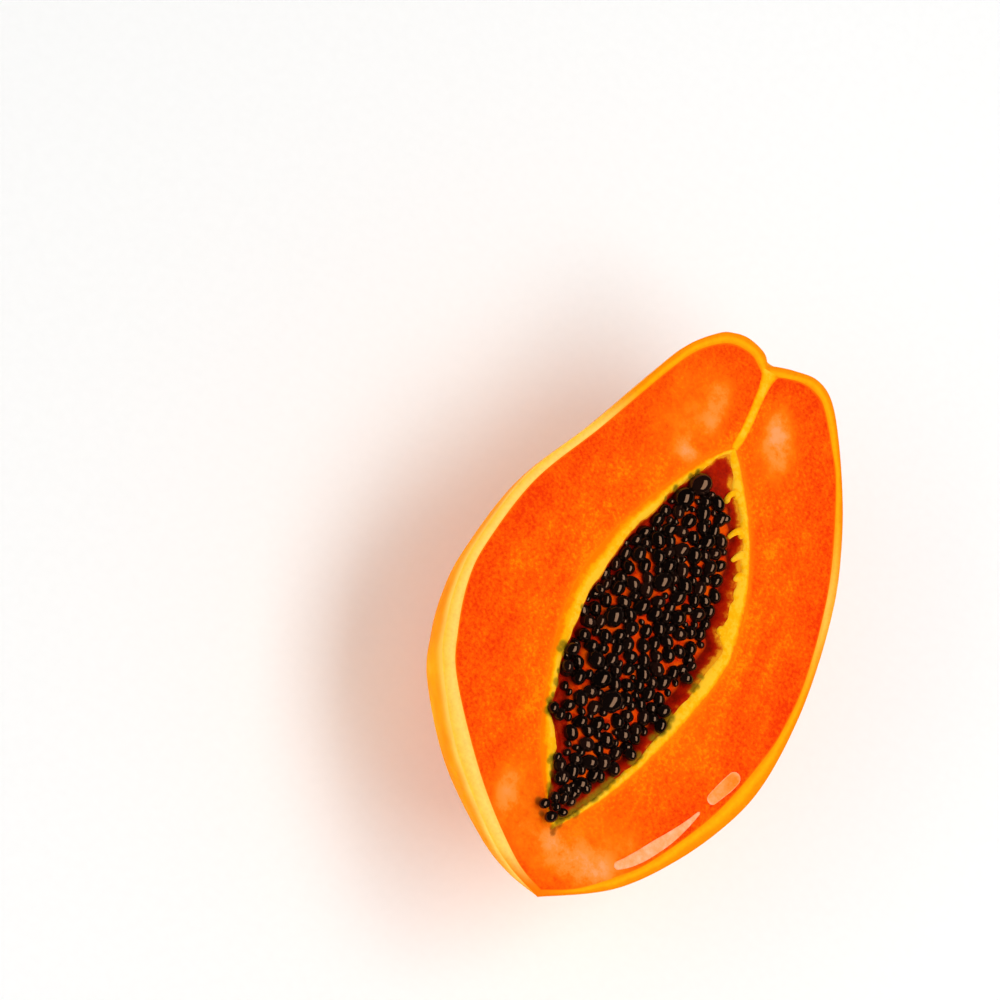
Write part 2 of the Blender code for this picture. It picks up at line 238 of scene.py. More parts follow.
def add(tree, kind, sockets=None, stops=None, out=0, **settings):
    """Adds a shader node with its sockets, its settings and a colour ramp's stops; returns one output."""
    made = tree.nodes.new("ShaderNode" + kind)
    for name, value in settings.items():
        setattr(made, name, value)
    plug(tree, made, sockets or {})
    if stops:
        for place, colour in stops[1:-1]:
            made.color_ramp.elements.new(place)
        for element, (place, colour) in zip(made.color_ramp.elements, stops):
            element.position = place
            element.color = linear(colour)
    return made.outputs[out]


def new_finish(name, *carried):
    """A new material with its tree and its shader, the place on the part, and the values that its points carry."""
    material = bpy.data.materials.new(name)
    material.use_nodes = True
    tree = material.node_tree
    place = add(tree, "TexCoord", out="Object")
    values = [add(tree, "Attribute", out="Fac", attribute_name=value) for value in carried]
    return material, tree, tree.nodes["Principled BSDF"], place, *values


CLOUD_SPAN = {"From Min": 0.3, "From Max": 0.7}     # where most of a cloud pattern's values lie
COLOURS = {"out": 2, "data_type": "RGBA"}           # for a mix of two colours

# Ripe papaya skin: thin and waxy, with a low sheen, cloudy gold mottling that pales by the cut, and fine pores.
# The paleness is a painted highlight down the left side and a faint pale tone halfway down the right.
# The pores are about 0.3 mm wide and 2 mm apart, and are drawn 1 mm wide so that they show.
papaya_skin, tree, shader, place, near_cut, paleness = new_finish("ripe_papaya_skin", "near_cut", "paleness")
clouds = add(tree, "TexNoise", {"Vector": place, "Scale": per(34), "Detail": 6, "Roughness": 0.62})
streak_place = add(tree, "Mapping", {"Vector": place, "Scale": (1, 0.35, 1)})
streaks = add(tree, "TexNoise", {"Vector": streak_place, "Scale": per(9), "Detail": 5})
mottle = add(tree, "Mix", {0: 0.35, 2: clouds, 3: streaks})
gold = add(tree, "ValToRGB", {"Fac": mottle}, stops=[
    (0.30, "#E87800"), (0.42, "#F28800"), (0.52, "#F89400"), (0.62, "#FCA202"), (0.75, "#FFBA34"),
])
pale_streaks = add(tree, "MapRange", {"Value": streaks, **CLOUD_SPAN, "To Min": 0.6})
# The pale band by the cut: a painted highlight down the left, a faint pale tone halfway down the right.
near_pale = add(tree, "Math", {0: near_cut, 1: paleness}, operation="MULTIPLY")
pale_share = add(tree, "Math", {0: near_pale, 1: pale_streaks}, operation="MULTIPLY")
paler = add(tree, "Mix", {0: pale_share, 6: gold, 7: linear("#FFCE5E")}, **COLOURS)
grain = add(tree, "TexNoise", {"Vector": place, "Scale": per(1.3), "Detail": 3})
grain_shade = add(tree, "MapRange", {"Value": grain, "To Min": 0.9, "To Max": 1.08})
skin_colour = add(tree, "Mix", {0: 1.0, 6: paler, 7: grain_shade}, **COLOURS, blend_type="MULTIPLY")
pores = add(tree, "TexVoronoi", {"Vector": place, "Scale": per(2.2)})
pore_dents = add(tree, "MapRange", {"Value": pores, "From Max": 0.25})
dents = add(tree, "Bump", {"Height": pore_dents, "Distance": 0.00006, "Strength": 0.5})
skin_normal = add(tree, "Bump", {"Height": streaks, "Distance": 0.0004, "Strength": 0.4, "Normal": dents})
plug(tree, shader, {
    "Base Color": skin_colour, "Normal": skin_normal, "Roughness": 0.5, "IOR": 1.22,
    "Specular IOR Level": 0.05, "Specular Tint": linear("#FFC060"),
})

# Cut papaya rind: dense and moist, orange at the skin and gold further in, with a fine even grain. Down the left
# side it is pale in a painted highlight, and faintly pale in tone halfway down the right. The grain is its cells,
# which are about 0.2 mm and are drawn at 1.2 mm so that they show.
cut_rind, tree, shader, place, across, paleness, at_tip = new_finish(
    "cut_papaya_rind", "across", "paleness", "at_tip"
)
drift = add(tree, "TexNoise", {"Vector": place, "Scale": per(9), "Detail": 5})
drifted = add(tree, "MapRange", {"Value": drift, "To Min": -0.28, "To Max": 0.28})
layer = add(tree, "Math", {0: across, 1: drifted}, operation="ADD")
warm = add(tree, "ValToRGB", {"Fac": layer}, stops=[
    (0.0, "#FD8600"), (0.3, "#FE9200"), (0.42, "#FFA200"), (0.62, "#FFAC06"), (0.85, "#FFA000"), (1.0, "#FD9200"),
])
pale = add(tree, "ValToRGB", {"Fac": layer}, stops=[
    (0.0, "#FFC23C"), (0.35, "#FFCB56"), (0.7, "#FFD166"), (1.0, "#FFCA56"),
])
# Pale down the left in a painted highlight, and faintly pale in tone halfway down the right.
long_band = add(tree, "Mix", {0: paleness, 6: warm, 7: pale}, **COLOURS)
band_colour = add(tree, "Mix", {0: at_tip, 6: long_band, 7: linear("#FC7400")}, **COLOURS)
cells = add(tree, "TexNoise", {"Vector": place, "Scale": per(1.2), "Detail": 3})
cell_shade = add(tree, "MapRange", {"Value": cells, **CLOUD_SPAN, "To Min": 0.91, "To Max": 1.06})
grained = add(tree, "Mix", {0: 1.0, 6: band_colour, 7: cell_shade}, **COLOURS, blend_type="MULTIPLY")
band_normal = add(tree, "Bump", {"Height": cells, "Distance": 0.0001, "Strength": 0.4})
plug(tree, shader, {
    "Base Color": grained, "Normal": band_normal, "Roughness": 0.45, "IOR": 1.38,
    "Specular IOR Level": 0.08, "Specular Tint": linear("#FFC060"),
})


def cut_band(rim, inner):
    """The cut from the skin to the flesh, the rounded edge first, and how far across each point is."""
    start = Vector((rim[0], rim[1], 0))
    width = max(math.dist(rim, inner), 1e-6)
    inward = (Vector((inner[0], inner[1], 0)) - start) / width
    radius = min(EDGE_ROUND, width / 2)
    band = []
    for k in range(1, ROUND_STEPS + 1):
        angle = math.pi / 2 * k / ROUND_STEPS
        sunk = Vector((0, 0, radius * (math.sin(angle) - 1)))
        band.append((start + inward * radius * (1 - math.cos(angle)) + sunk, 0.0))
    for k in range(1, BAND_COLUMNS + 1):
        share = k / BAND_COLUMNS
        point = start + inward * (radius + (width - radius) * share)
        point.z = hills(point, *BAND_HILLS) * math.sin(math.pi * share)
        band.append((point, share))
    return band


def rind_ring(outer, inner):
    """One section of the rind: the skin from right to left, the left cut, the inside, the right cut.

    Every point comes with its nearness to the cut and how far across the cut it is.
    """
    (right, left), (inner_right, inner_left) = outer, inner
    points, near_cut, across = [], [], []
    for j in range(SKIN_COLUMNS + 1):
        angle = math.pi * j / SKIN_COLUMNS
        point = section_point(right, left, angle, RIB_HEIGHT)
        swell = hills(point, *SKIN_HILLS) * math.sin(angle)
        point += Vector((math.cos(angle), 0, -math.sin(angle))) * swell
        point.z = max(point.z - EDGE_ROUND * math.exp(point.z / EDGE_ROUND), -REST_DEPTH)
        points.append(point)
        near_cut.append(math.exp(-(point.z / NEAR_CUT_DEPTH) ** 2))
        across.append(0.0)
    insides = [
        (section_point(inner_right, inner_left, math.pi * (1 - j / RIND_INNER_COLUMNS)), 1.0)
        for j in range(1, RIND_INNER_COLUMNS)
    ]
    for point, share in cut_band(left, inner_left) + insides + cut_band(right, inner_right)[::-1]:
        points.append(point)
        near_cut.append(1.0)
        across.append(share)
    return points, near_cut, across


def rind_paleness(point, middle):
    """A painted highlight along the left side, and a faint pale tone halfway down the right."""
    left = ramp(point.y, *PALE_FROM_Y) * ramp(middle - point.x, 0, PALE_FADE)
    right_y, reach, strength = PALE_ON_RIGHT
    right = strength * math.exp(-((point.y - right_y) / reach) ** 2) * ramp(point.x - middle, 0, PALE_FADE)
    return max(left, right)


rows, near_cut, across = zip(*map(rind_ring, outline, flesh_edge))
middles = [(right[0] + left[0]) / 2 for right, left in outline]
rind = loft(
    "rind_half", rows, [papaya_skin, cut_rind],
    [0] * (SKIN_COLUMNS + 1) + [1] * (len(rows[0]) - SKIN_COLUMNS - 1), near_cut=near_cut, across=across,
    paleness=[[rind_paleness(point, middle) for point in row] for row, middle in zip(rows, middles)],
    at_tip=at_each(rows, lambda point: ramp(point.y, *ORANGE_FROM_Y)),
)
join_fruit(rind, "rind")


# The flesh: soft, juicy and finely fibrous, deep orange by the rind and yellower round the seed cavity. The knife
# leaves it almost flat, with the slight hills and hollows of soft tissue that has sprung back.

CAVITY_RIGHT = [
    (1, -34.5), (9, -44.2), (20.4, -63.2), (28.4, -84), (31.8, -104), (30.9, -116), (26, -134.4), (19.3, -153.2),
    (9.6, -174.6), (-0.5, -190), (-5.5, -196.5),
]
CAVITY_LEFT = [
    (1, -34.5), (-6.2, -42.4), (-12, -51.3), (-21.4, -69.6), (-29.6, -89.9), (-34.1, -111.2), (-33, -131.2),
    (-28.9, -149.2), (-22.3, -169.8), (-11.6, -187.9), (-5.5, -196.5),
]
FLESH_FACE_COLUMNS = 60
FLESH_BACK_COLUMNS = 24
HOLLOW_COLUMNS = 16
FACE_HILLS = (0.25, 26, 2)  # height, size and layout of the cut face's hills
FACE_RIPPLES = (0.08, 5, 9)     # and of its ripples
FLAT_COLUMNS = 3            # over these first columns from the rind they rise from nothing
WATERY_SPOTS = [            # x, y, radius across, radius along and strength of the pale watery places, partly painted highlights
    (15.0, -24, 6, 9, 1.0), (11.5, -16, 4, 6, 0.45), (20, -32, 5, 9, 0.4), (-15.5, -46, 5, 4, 0.75),
    (-11, -30, 4, 9, 0.45), (-13, -19, 5, 6, 0.4), (-27, -190, 3.5, 6, 0.35), (-22, -197, 6, 6, 0.2),
    (17, -200, 4, 4, 0.5), (8, -203, 6, 4, 0.4), (24, -186, 4, 4, 0.35), (-3, -200, 6, 4, 0.3),
    (-20, -34, 14, 22, 0.4), (8, -204, 22, 11, 0.55), (-25, -190, 9, 15, 0.35), (9, -52, 6, 14, 0.2),
    (12, -190, 22, 14, 0.3), (-14, -202, 12, 10, 0.12), (30, -142, 5, 16, 0.15),
]
SEED_JUICE_SPOTS = [        # x, y and radius of the painted shadows of seeds on the rim
    (-8.6, -51.1, 1.2), (-10.5, -54, 1.2), (-13.9, -61, 1.3), (-15.6, -66.3, 0.9), (-27.9, -118.9, 1.2),
    (-29, -135.1, 1.9), (-29.5, -136.9, 1.5), (-27.3, -137.8, 1.1), (-26.5, -144.2, 1.1), (-25.5, -148.2, 1.7),
    (-24.9, -153.1, 1.1), (-25.2, -155.6, 1.7), (-24.2, -159, 1.9), (-22.7, -159.6, 1.1), (-15.8, -173.5, 1.6),
    (-16.4, -175, 1.2), (-14, -175.7, 1.5), (-13.4, -178.6, 1.4), (-12.2, -183.1, 1.7), (-11.9, -184.5, 1.3),
    (24.0, -118.4, 1.2), (23.6, -122.7, 1.3), (23.2, -124.6, 0.9), (18.8, -138.2, 2.1), (19.1, -141.4, 1.8),
    (17.7, -144.3, 2.1), (16.0, -147.5, 1.6), (13.6, -156.3, 1.7), (12.4, -159.2, 1.9), (8.0, -169.4, 1.6),
    (6.7, -172.2, 2.1), (5.1, -175.3, 1.9), (3.8, -178.4, 2.2), (1.8, -181.2, 1.7), (0.1, -183.3, 1.7),
    (-0.2, -186.8, 2.1), (-2.2, -188.9, 1.8), (-4.1, -190.6, 2.1), (-3.9, -193.2, 1.7), (-4.9, -195.6, 1.4),
    (-4.4, -197.2, 1.1), (-13.9, -189.6, 1.5), (-11.2, -193, 1.1),
]
SEED_JUICE_DEPTH = 4        # how far down the wall it shows
cavity_edge = rims(CAVITY_RIGHT, CAVITY_LEFT)

# Ripe papaya flesh: wet, translucent tissue that is red-orange where it is dense and orange where it is watery,
# in soft streaks along the fruit, with a faint orange sheen of juice. Its pale peach watery patches are partly
# painted highlights. Its cells are about 0.2 mm and are drawn at 1.2 mm so that their grain shows.
papaya_flesh, tree, shader, place, across, watery, seed_juice = new_finish(
    "ripe_papaya_flesh", "across", "watery", "seed_juice"
)
streak_place = add(tree, "Mapping", {"Vector": place, "Scale": (1, 0.45, 1)})
streaks = add(tree, "TexNoise", {"Vector": streak_place, "Scale": per(11), "Detail": 6, "Roughness": 0.6})
streak_shift = add(tree, "MapRange", {"Value": streaks, **CLOUD_SPAN, "To Min": -0.32, "To Max": 0.32})
cells = add(tree, "TexNoise", {"Vector": place, "Scale": per(1.2), "Detail": 3, "Roughness": 0.6})
cell_shift = add(tree, "MapRange", {"Value": cells, **CLOUD_SPAN, "To Min": -0.4, "To Max": 0.4})
redness = add(tree, "MapRange", {"Value": across, "To Min": 0.28, "To Max": 0.7})
shifted = add(tree, "Math", {0: redness, 1: streak_shift}, operation="ADD")
layer = add(tree, "Math", {0: shifted, 1: cell_shift}, operation="ADD")
body = add(tree, "ValToRGB", {"Fac": layer}, stops=[
    (0.0, "#FF8000"), (0.25, "#FC6400"), (0.5, "#F95400"), (0.75, "#F74600"), (1.0, "#F03200"),
])
glow = add(tree, "ValToRGB", {"Fac": across}, stops=[
    (0.0, "#FFFFFF"), (0.02, "#B4B4B4"), (0.06, "#484848"), (0.12, "#000000"),
])
by_lining = add(tree, "Mix", {0: glow, 6: body, 7: linear("#FE8000")}, **COLOURS)
rind_glow = add(tree, "MapRange", {"Value": across, "From Min": 0.98, "From Max": 1.0, "To Max": 0.8})
by_rind = add(tree, "Mix", {0: rind_glow, 6: by_lining, 7: linear("#FD7E00")}, **COLOURS)
cloud = add(tree, "TexNoise", {"Vector": place, "Scale": per(7), "Detail": 8, "Roughness": 0.7})
cloudy = add(tree, "MapRange", {"Value": cloud, "From Min": 0.2, "From Max": 0.6})
# The watery patches: pale peach, partly painted highlights.
water = add(tree, "Math", {0: watery, 1: cloudy}, operation="MULTIPLY")
water_colour = add(tree, "ValToRGB", {"Fac": water}, stops=[
    (0.0, "#FC6C00"), (0.35, "#FD7C08"), (0.65, "#FE8C34"), (0.95, "#FF9C5C"),
])
water_share = add(tree, "MapRange", {"Value": water, "From Max": 0.5})
watered = add(tree, "Mix", {0: water_share, 6: by_rind, 7: water_colour}, **COLOURS)
# Painted olive-brown shadows of the seeds on the flesh by the rim.
juice_share = add(tree, "Math", {0: seed_juice, 1: 0.8}, operation="MULTIPLY")
flesh_colour = add(tree, "Mix", {0: juice_share, 6: watered, 7: linear("#86400A")}, **COLOURS)
cell_bumps = add(tree, "Bump", {"Height": cells, "Distance": 0.00016, "Strength": 0.6})
flesh_normal = add(tree, "Bump", {"Height": streaks, "Distance": 0.0007, "Strength": 0.5, "Normal": cell_bumps})
plug(tree, shader, {
    "Base Color": flesh_colour, "Normal": flesh_normal, "Roughness": 0.4, "IOR": 1.36,
    "Specular IOR Level": 0.1, "Specular Tint": linear("#FF9840"),
})


def face_height(x, y):
    """How far the cut face of the flesh stands over the cut plane."""
    return hills((x, y), *FACE_HILLS) + hills((x, y), *FACE_RIPPLES)


def watery_at(point):
    """How watery and pale the flesh is here; the paleness is partly a painted highlight."""
    return min(sum(
        strength * math.exp(-((point.x - x) / wide) ** 2 - ((point.y - y) / long) ** 2)
        for x, y, wide, long, strength in WATERY_SPOTS
    ), 1)


def seed_juice_at(point):
    """How much painted seed shadow lies here: each spot is full almost to its edge."""
    if point.z < -SEED_JUICE_DEPTH:
        return 0.0
    return max(
        math.exp(-(math.dist(point[:2], (x, y)) / radius) ** 6)
        for x, y, radius in SEED_JUICE_SPOTS
    )


def face_points(edge, hollow):
    """The flesh's face from its edge at the rind to the cavity, with how far across each point is."""
    points = []
    for j in range(FLESH_FACE_COLUMNS + 1):
        share = j / FLESH_FACE_COLUMNS
        x = edge[0] + (hollow[0] - edge[0]) * share
        y = edge[1] + (hollow[1] - edge[1]) * share
        points.append((Vector((x, y, face_height(x, y) * min(j / FLAT_COLUMNS, 1))), 1 - share))
    return points


def flesh_ring(edge, hollow):
    """One section: the back from right to left, the left face, the cavity's hollow, the right face."""
    (right, left), (hollow_right, hollow_left) = edge, hollow
    marked = [
        (section_point(right, left, math.pi * j / FLESH_BACK_COLUMNS), 1.0) for j in range(FLESH_BACK_COLUMNS)
    ]
    marked += face_points(left, hollow_left)
    marked += [
        (section_point(hollow_right, hollow_left, math.pi * (1 - j / HOLLOW_COLUMNS)), 0.0)
        for j in range(1, HOLLOW_COLUMNS)
    ]
    marked += face_points(right, hollow_right)[::-1]
    return zip(*marked[:-1])


rows, across = zip(*map(flesh_ring, flesh_edge, cavity_edge))
flesh = loft(
    "flesh_half", rows, [papaya_flesh], [0] * len(rows[0]), across=across,
    watery=at_each(rows, watery_at), seed_juice=at_each(rows, seed_juice_at),
)
join_fruit(flesh, "flesh")


# Juice: sugary sap that has run out of the cut flesh at its lower right and spread there in two thin films, held
# on it by nothing but their own wetness. Their pale colour is a painted highlight of their gloss.

STRIP_FILM = [              # x, y and half width of points down its middle
    (21.6, -196.8, 1.3), (25.6, -193, 1.9), (29.4, -188.4, 2.25), (32.8, -183.4, 2.3), (35.8, -178.8, 2.1),
    (38.6, -174, 1.65), (41.2, -168.8, 1.1), (43.6, -163.2, 0.5),
]
DROP_FILM = [(45.2, -158.6, 1.9), (47.4, -153.6, 2.3), (49.8, -148.4, 2.6), (51.8, -143.4, 2.2)]
FILM_CROWN = 0.3            # height in the middle
FILM_SINK = 0.45            # and how far its underside goes down into the flesh
FILM_STEPS = 60
FILM_SIDES = 12

# Papaya juice: a clear liquid, so thin that it takes the flesh's colour, with a hard wet shine; it is pale in a
# painted highlight, most at the films' edges. Its clouds are 3 mm.
juice, tree, shader, place, milky = new_finish("papaya_juice", "milky")
clouds = add(tree, "TexNoise", {"Vector": place, "Scale": per(3), "Detail": 7, "Roughness": 0.7})
cloud_shift = add(tree, "MapRange", {"Value": clouds, **CLOUD_SPAN, "To Min": -0.3, "To Max": 0.3})
milkiness = add(tree, "Math", {0: milky, 1: cloud_shift}, operation="ADD")
juice_colour = add(tree, "ValToRGB", {"Fac": milkiness}, stops=[
    (0.0, "#FC7E14"), (0.4, "#FE9444"), (0.75, "#FFA66C"), (1.0, "#FFBA90"),
])
plug(tree, shader, {
    "Base Color": juice_colour, "Roughness": 0.12, "IOR": 1.34,
    "Specular IOR Level": 0.1, "Specular Tint": linear("#FFC090"),
})


def film(name, line, milky_from, milky_to):
    """A thin film with round ends and a low crown, along a line on the flesh, its painted highlight palest at its
    edge.
    """
    course = spread(line, FILM_STEPS)
    rows, milky = [], []
    for i, (x, y, half) in enumerate(course):
        before, after = course[max(i - 1, 0)], course[min(i + 1, FILM_STEPS)]
        along = Vector((after[0] - before[0], after[1] - before[1], 0)).normalized()
        aside = Vector((along.y, -along.x, 0))
        to_end = min(math.dist(course[0][:2], (x, y)), math.dist(course[-1][:2], (x, y)))
        reach = half * math.sqrt(max(1 - (1 - min(to_end / half, 1)) ** 2, 0))
        ring, clouding = [], []
        for k in range(2 * FILM_SIDES):
            angle = math.pi * k / FILM_SIDES
            spot = Vector((x, y, 0)) + aside * reach * math.cos(angle)
            rise = math.sin(angle) * (FILM_CROWN if angle < math.pi else FILM_SINK) * min(reach, 1)
            ring.append(Vector((spot.x, spot.y, face_height(spot.x, spot.y) + rise)))
            # The film's pale colour is a painted highlight, strongest at its sides and ends.
            inside = milky_from + (milky_to - milky_from) * i / FILM_STEPS
            at_side = abs(math.cos(angle)) ** 9
            clouding.append(max(inside, at_side, 1 - to_end / half))
        rows.append(ring)
        milky.append(clouding)
    join_fruit(loft(name, rows, [juice], [0] * (2 * FILM_SIDES), milky=milky), "flesh")


film("juice_strip", STRIP_FILM, milky_from=0.75, milky_to=0.75)
film("juice_drop", DROP_FILM, milky_from=0.6, milky_to=0.0)


# The lining: a layer of yellow fibres that walls the seed cavity, grown into the flesh with no seam. Cut through,
# it stands up as an uneven ridge, with a strand of the same fibre from it to the stem and, on its right, the
# hooked ends of the stalks that seeds hung on.

RIM_RIGHT = [               # the ridge's uneven inner edge
    (0.3, -38.2), (1.3, -40.1), (2.4, -42), (3.9, -43.7), (5.2, -45.6), (5.9, -48.6), (7.3, -50.3), (9.6, -52.4),
    (11.6, -54.7), (13.7, -57.3), (14.6, -59.4), (15.6, -61.7), (17.3, -63.3), (18.2, -64.9), (19.2, -66.5),
    (19.5, -68.8), (19.7, -71.3), (21, -73.1), (22.3, -74.9), (22.3, -77), (22.4, -79.1), (22.9, -81.3),
    (22.8, -83.5), (23.2, -85.3), (24, -86.6), (23.5, -88.9), (24, -91.6), (24.6, -93.8), (24.2, -96.5),
    (23.9, -99.2), (24.5, -101.4), (25.9, -103.1), (27.5, -104.7), (27.7, -107.5), (26.8, -110.9), (25.7, -114.4),
    (24.8, -118.2), (24.3, -121), (23.6, -124.3), (22.9, -127.5), (21.2, -131.7), (20.2, -135.2), (19.1, -138.6),
    (19.1, -141.5), (18.2, -145.2), (17, -148.3), (15.8, -152.3), (14.9, -156), (14, -158.9), (12.9, -161.1),
    (11.2, -164), (10.2, -166.6), (8.5, -169.5), (7.2, -173.1), (5.4, -176.8), (3.6, -180.2), (1.7, -183.6),
    (-0.3, -186.6), (-2.6, -190), (-5.5, -192.3),
]
RIM_LEFT = [
    (0.3, -38.2), (-1.6, -39.6), (-4, -42.6), (-5.4, -46.2), (-6.9, -49.2), (-8.7, -51.6), (-11, -55.4),
    (-12, -58.2), (-14, -61.5), (-15.5, -64), (-16, -66.9), (-16.8, -69.9), (-17.8, -72.6), (-19.5, -76.5),
    (-21.2, -79.6), (-22, -82.6), (-23, -85.3), (-23.9, -89.1), (-24.6, -93.3), (-25.4, -97.1), (-26.1, -101.3),
    (-26.7, -105.7), (-27.5, -108.7), (-28.1, -111.9), (-28, -116), (-28.1, -119.4), (-27.7, -123.2),
    (-28, -127.1), (-27.5, -130.9), (-27.7, -134.3), (-27.5, -138.3), (-27, -141.3), (-26.3, -144.6),
    (-25.2, -148), (-24.6, -150.9), (-24.6, -153.7), (-24.7, -156.2), (-24, -158.7), (-22.1, -160.2),
    (-20.5, -161.9), (-18.6, -164), (-17.1, -166.3), (-15.7, -168.5), (-15.4, -170.8), (-15.2, -173.9),
    (-14.3, -176.7), (-13.6, -179.1), (-12.4, -181.6), (-12.1, -184.2), (-10.8, -188), (-8.2, -191),
    (-5.5, -192.3),
]
LINING_ROWS = 320
RIDGE_COLUMNS = 18
WALL_COLUMNS = 30
LINING_BACK_COLUMNS = 10
LINING_OVERLAP = 0.5        # how far the ridge runs on over the flesh, sinking into it
RIDGE_HEIGHT = 0.5
RIDGE_WAVES = (0.4, 5, 3)   # height as a share of the ridge's, size and layout of its long unevenness
RIDGE_BUMPS = (0.2, 2, 4)   # and of its short one
RIDGE_FOOT = 0.3            # how deep its outer foot is sunk
RIDGE_DROP = 0.35           # and how far it has rounded down at its inner edge
RIDGE_CREST = 0.5           # where its crest is, as a share of its width
CREST_LEFT = (0.05, 0.65)   # where across it the orange foot turns into the yellow crest
CREST_RIGHT = (-0.05, 0.4)
STRAND_STATIONS = [         # x, y, half width and height of points down the strand's middle
    (1.4, -1.6, 4.4, 0.1), (1.9, -4.2, 2.9, 0.25), (2.0, -8, 2.1, 0.35), (2.0, -14, 1.85, 0.4),
    (2.0, -21, 1.8, 0.4), (1.9, -27, 1.8, 0.4), (1.4, -32, 1.75, 0.4), (0.9, -35.5, 1.4, 0.35),
    (0.5, -38, 0.7, 0.2),
]
STRAND_WAVES = (0.1, 5, 8)  # share, size and layout of the unevenness of its width
STRAND_BUMPS = (0.25, 4, 7)     # and of its height
STRAND_DEPTH = 0.9
STRAND_SINK = 0.05          # how far its middle lies under the flesh's face
STRAND_CREST = 0.85         # how yellow its top is: the fibre's colour and a painted highlight
STRAND_CREST_FROM = 0.35    # and from what share of its height it turns so
STRAND_STEPS = 80
STRAND_SIDES = 20
STALKS = [                  # points down the middle of each stalk: x, y, z and radius
    [(9.9, -51.0, -1.0, 2.0), (8.6, -50.4, -0.2, 1.6), (7.3, -51.0, 0.1, 1.15), (6.4, -52.6, -0.2, 1.05),
     (6.4, -54.4, -0.7, 1.2), (7.1, -55.3, -1.1, 1.2)],
    [(17.4, -62.6, -1.2, 2.2), (15.9, -62.4, -0.3, 1.8), (14.5, -63.2, -0.1, 1.25), (13.4, -64.8, -0.7, 1.0),
     (12.7, -66.8, -1.5, 0.8)],
    [(21.3, -69.8, -1.2, 2.2), (20.0, -70.1, -0.2, 1.8), (18.9, -71.1, -0.2, 1.3), (18.1, -72.4, -0.6, 1.0),
     (17.5, -73.8, -1.3, 0.8)],
    [(23.8, -77.3, -1.2, 2.2), (22.6, -77.8, -0.3, 1.8), (21.8, -78.9, -0.6, 1.2), (21.3, -80, -1.1, 0.9)],
    [(25.2, -99.4, -1.2, 2.6), (24.0, -99.8, -0.5, 2.0), (23.0, -100.6, -1.0, 1.3)],
]
STALK_STEPS = 24
STALK_SIDES = 14
STALK_FLATNESS = 0.75       # height as a share of the width
STALK_CREST = 0.9
rim_edge = rims(RIM_RIGHT, RIM_LEFT, LINING_ROWS)
lining_outside = rims(CAVITY_RIGHT, CAVITY_LEFT, LINING_ROWS)

# Papaya lining fibre: moist yellow fibres, palest on the ridge's crest and orange where they grow out of the
# flesh or go down into the pulp, turning dark red further down the wall, partly their colour and partly painted
# shade. Painted olive-brown shadows of the seeds lie on them here and there. The threads are about 0.2 mm and are
# drawn at 1.7 mm so that they show.
lining_fibre, tree, shader, place, crest, depth, seed_juice = new_finish(
    "papaya_lining_fibre", "crest", "depth", "seed_juice"
)
threads = add(tree, "TexNoise", {"Vector": place, "Scale": per(1.7), "Detail": 5, "Roughness": 0.65})
drift = add(tree, "TexNoise", {"Vector": place, "Scale": per(8), "Detail": 3})
drift_shift = add(tree, "MapRange", {"Value": drift, **CLOUD_SPAN, "To Min": -0.25, "To Max": 0.2})
thread_shift = add(tree, "MapRange", {"Value": threads, **CLOUD_SPAN, "To Min": -0.3, "To Max": 0.25})
drifted = add(tree, "Math", {0: crest, 1: drift_shift}, operation="ADD")
raised = add(tree, "Math", {0: drifted, 1: thread_shift}, operation="ADD")
ridge_colour = add(tree, "ValToRGB", {"Fac": raised}, stops=[
    (0.0, "#FE7A00"), (0.25, "#FF9000"), (0.5, "#FFA600"), (0.8, "#FFB408"), (1.0, "#FFC028"),
])
# Down the wall the fibre darkens to red with depth: partly its colour, partly painted shade of the hollow.
sunk = add(tree, "Math", {0: depth, 1: 0.3}, operation="MULTIPLY")
wall_colour = add(tree, "ValToRGB", {"Fac": sunk}, stops=[
    (0.1, "#FFB010"), (0.3, "#F98E0C"), (0.55, "#EC6408"), (0.8, "#D23A06"), (1.0, "#A81E04"),
])
is_wall = add(tree, "MapRange", {"Value": depth, "From Min": 0.2, "From Max": 0.9})
clean = add(tree, "Mix", {0: is_wall, 6: ridge_colour, 7: wall_colour}, **COLOURS)
# Painted olive-brown shadows of the seeds on the lining.
soak = add(tree, "MapRange", {"Value": threads, "From Min": 0.3, "From Max": 0.6, "To Min": 0.55, "To Max": 0.92})
soaked = add(tree, "Math", {0: seed_juice, 1: soak}, operation="MULTIPLY")
lining_colour = add(tree, "Mix", {0: soaked, 6: clean, 7: linear("#75620A")}, **COLOURS)
lining_normal = add(tree, "Bump", {"Height": threads, "Distance": 0.0004, "Strength": 0.5})
plug(tree, shader, {
    "Base Color": lining_colour, "Normal": lining_normal, "Roughness": 0.45, "IOR": 1.38,
    "Specular IOR Level": 0.1, "Specular Tint": linear("#FFC850"),
})


def ridge_points(outer, inner, crest_from, crest_to):
    """The ridge from its foot in the flesh to its inner edge, with how near the crest each point is."""
    width = max(math.dist(outer, inner), 1e-6)
    points = []
    for j in range(RIDGE_COLUMNS + 1):
        share = j / RIDGE_COLUMNS * (1 + LINING_OVERLAP / width) - LINING_OVERLAP / width
        x = outer[0] + (inner[0] - outer[0]) * share
        y = outer[1] + (inner[1] - outer[1]) * share
        rise = j / RIDGE_COLUMNS / RIDGE_CREST
        height = RIDGE_HEIGHT * (1 + hills((x, y), *RIDGE_WAVES) + hills((x, y), *RIDGE_BUMPS))
        if rise < 1:
            z = height * ramp(rise, 0, 1) - RIDGE_FOOT * (1 - rise) ** 4
        else:
            z = height - (height + RIDGE_DROP) * (rise - 1) ** 3 / (1 / RIDGE_CREST - 1) ** 3
        points.append((Vector((x, y, z + face_height(x, y))), ramp(share, crest_from, crest_to)))
    return points


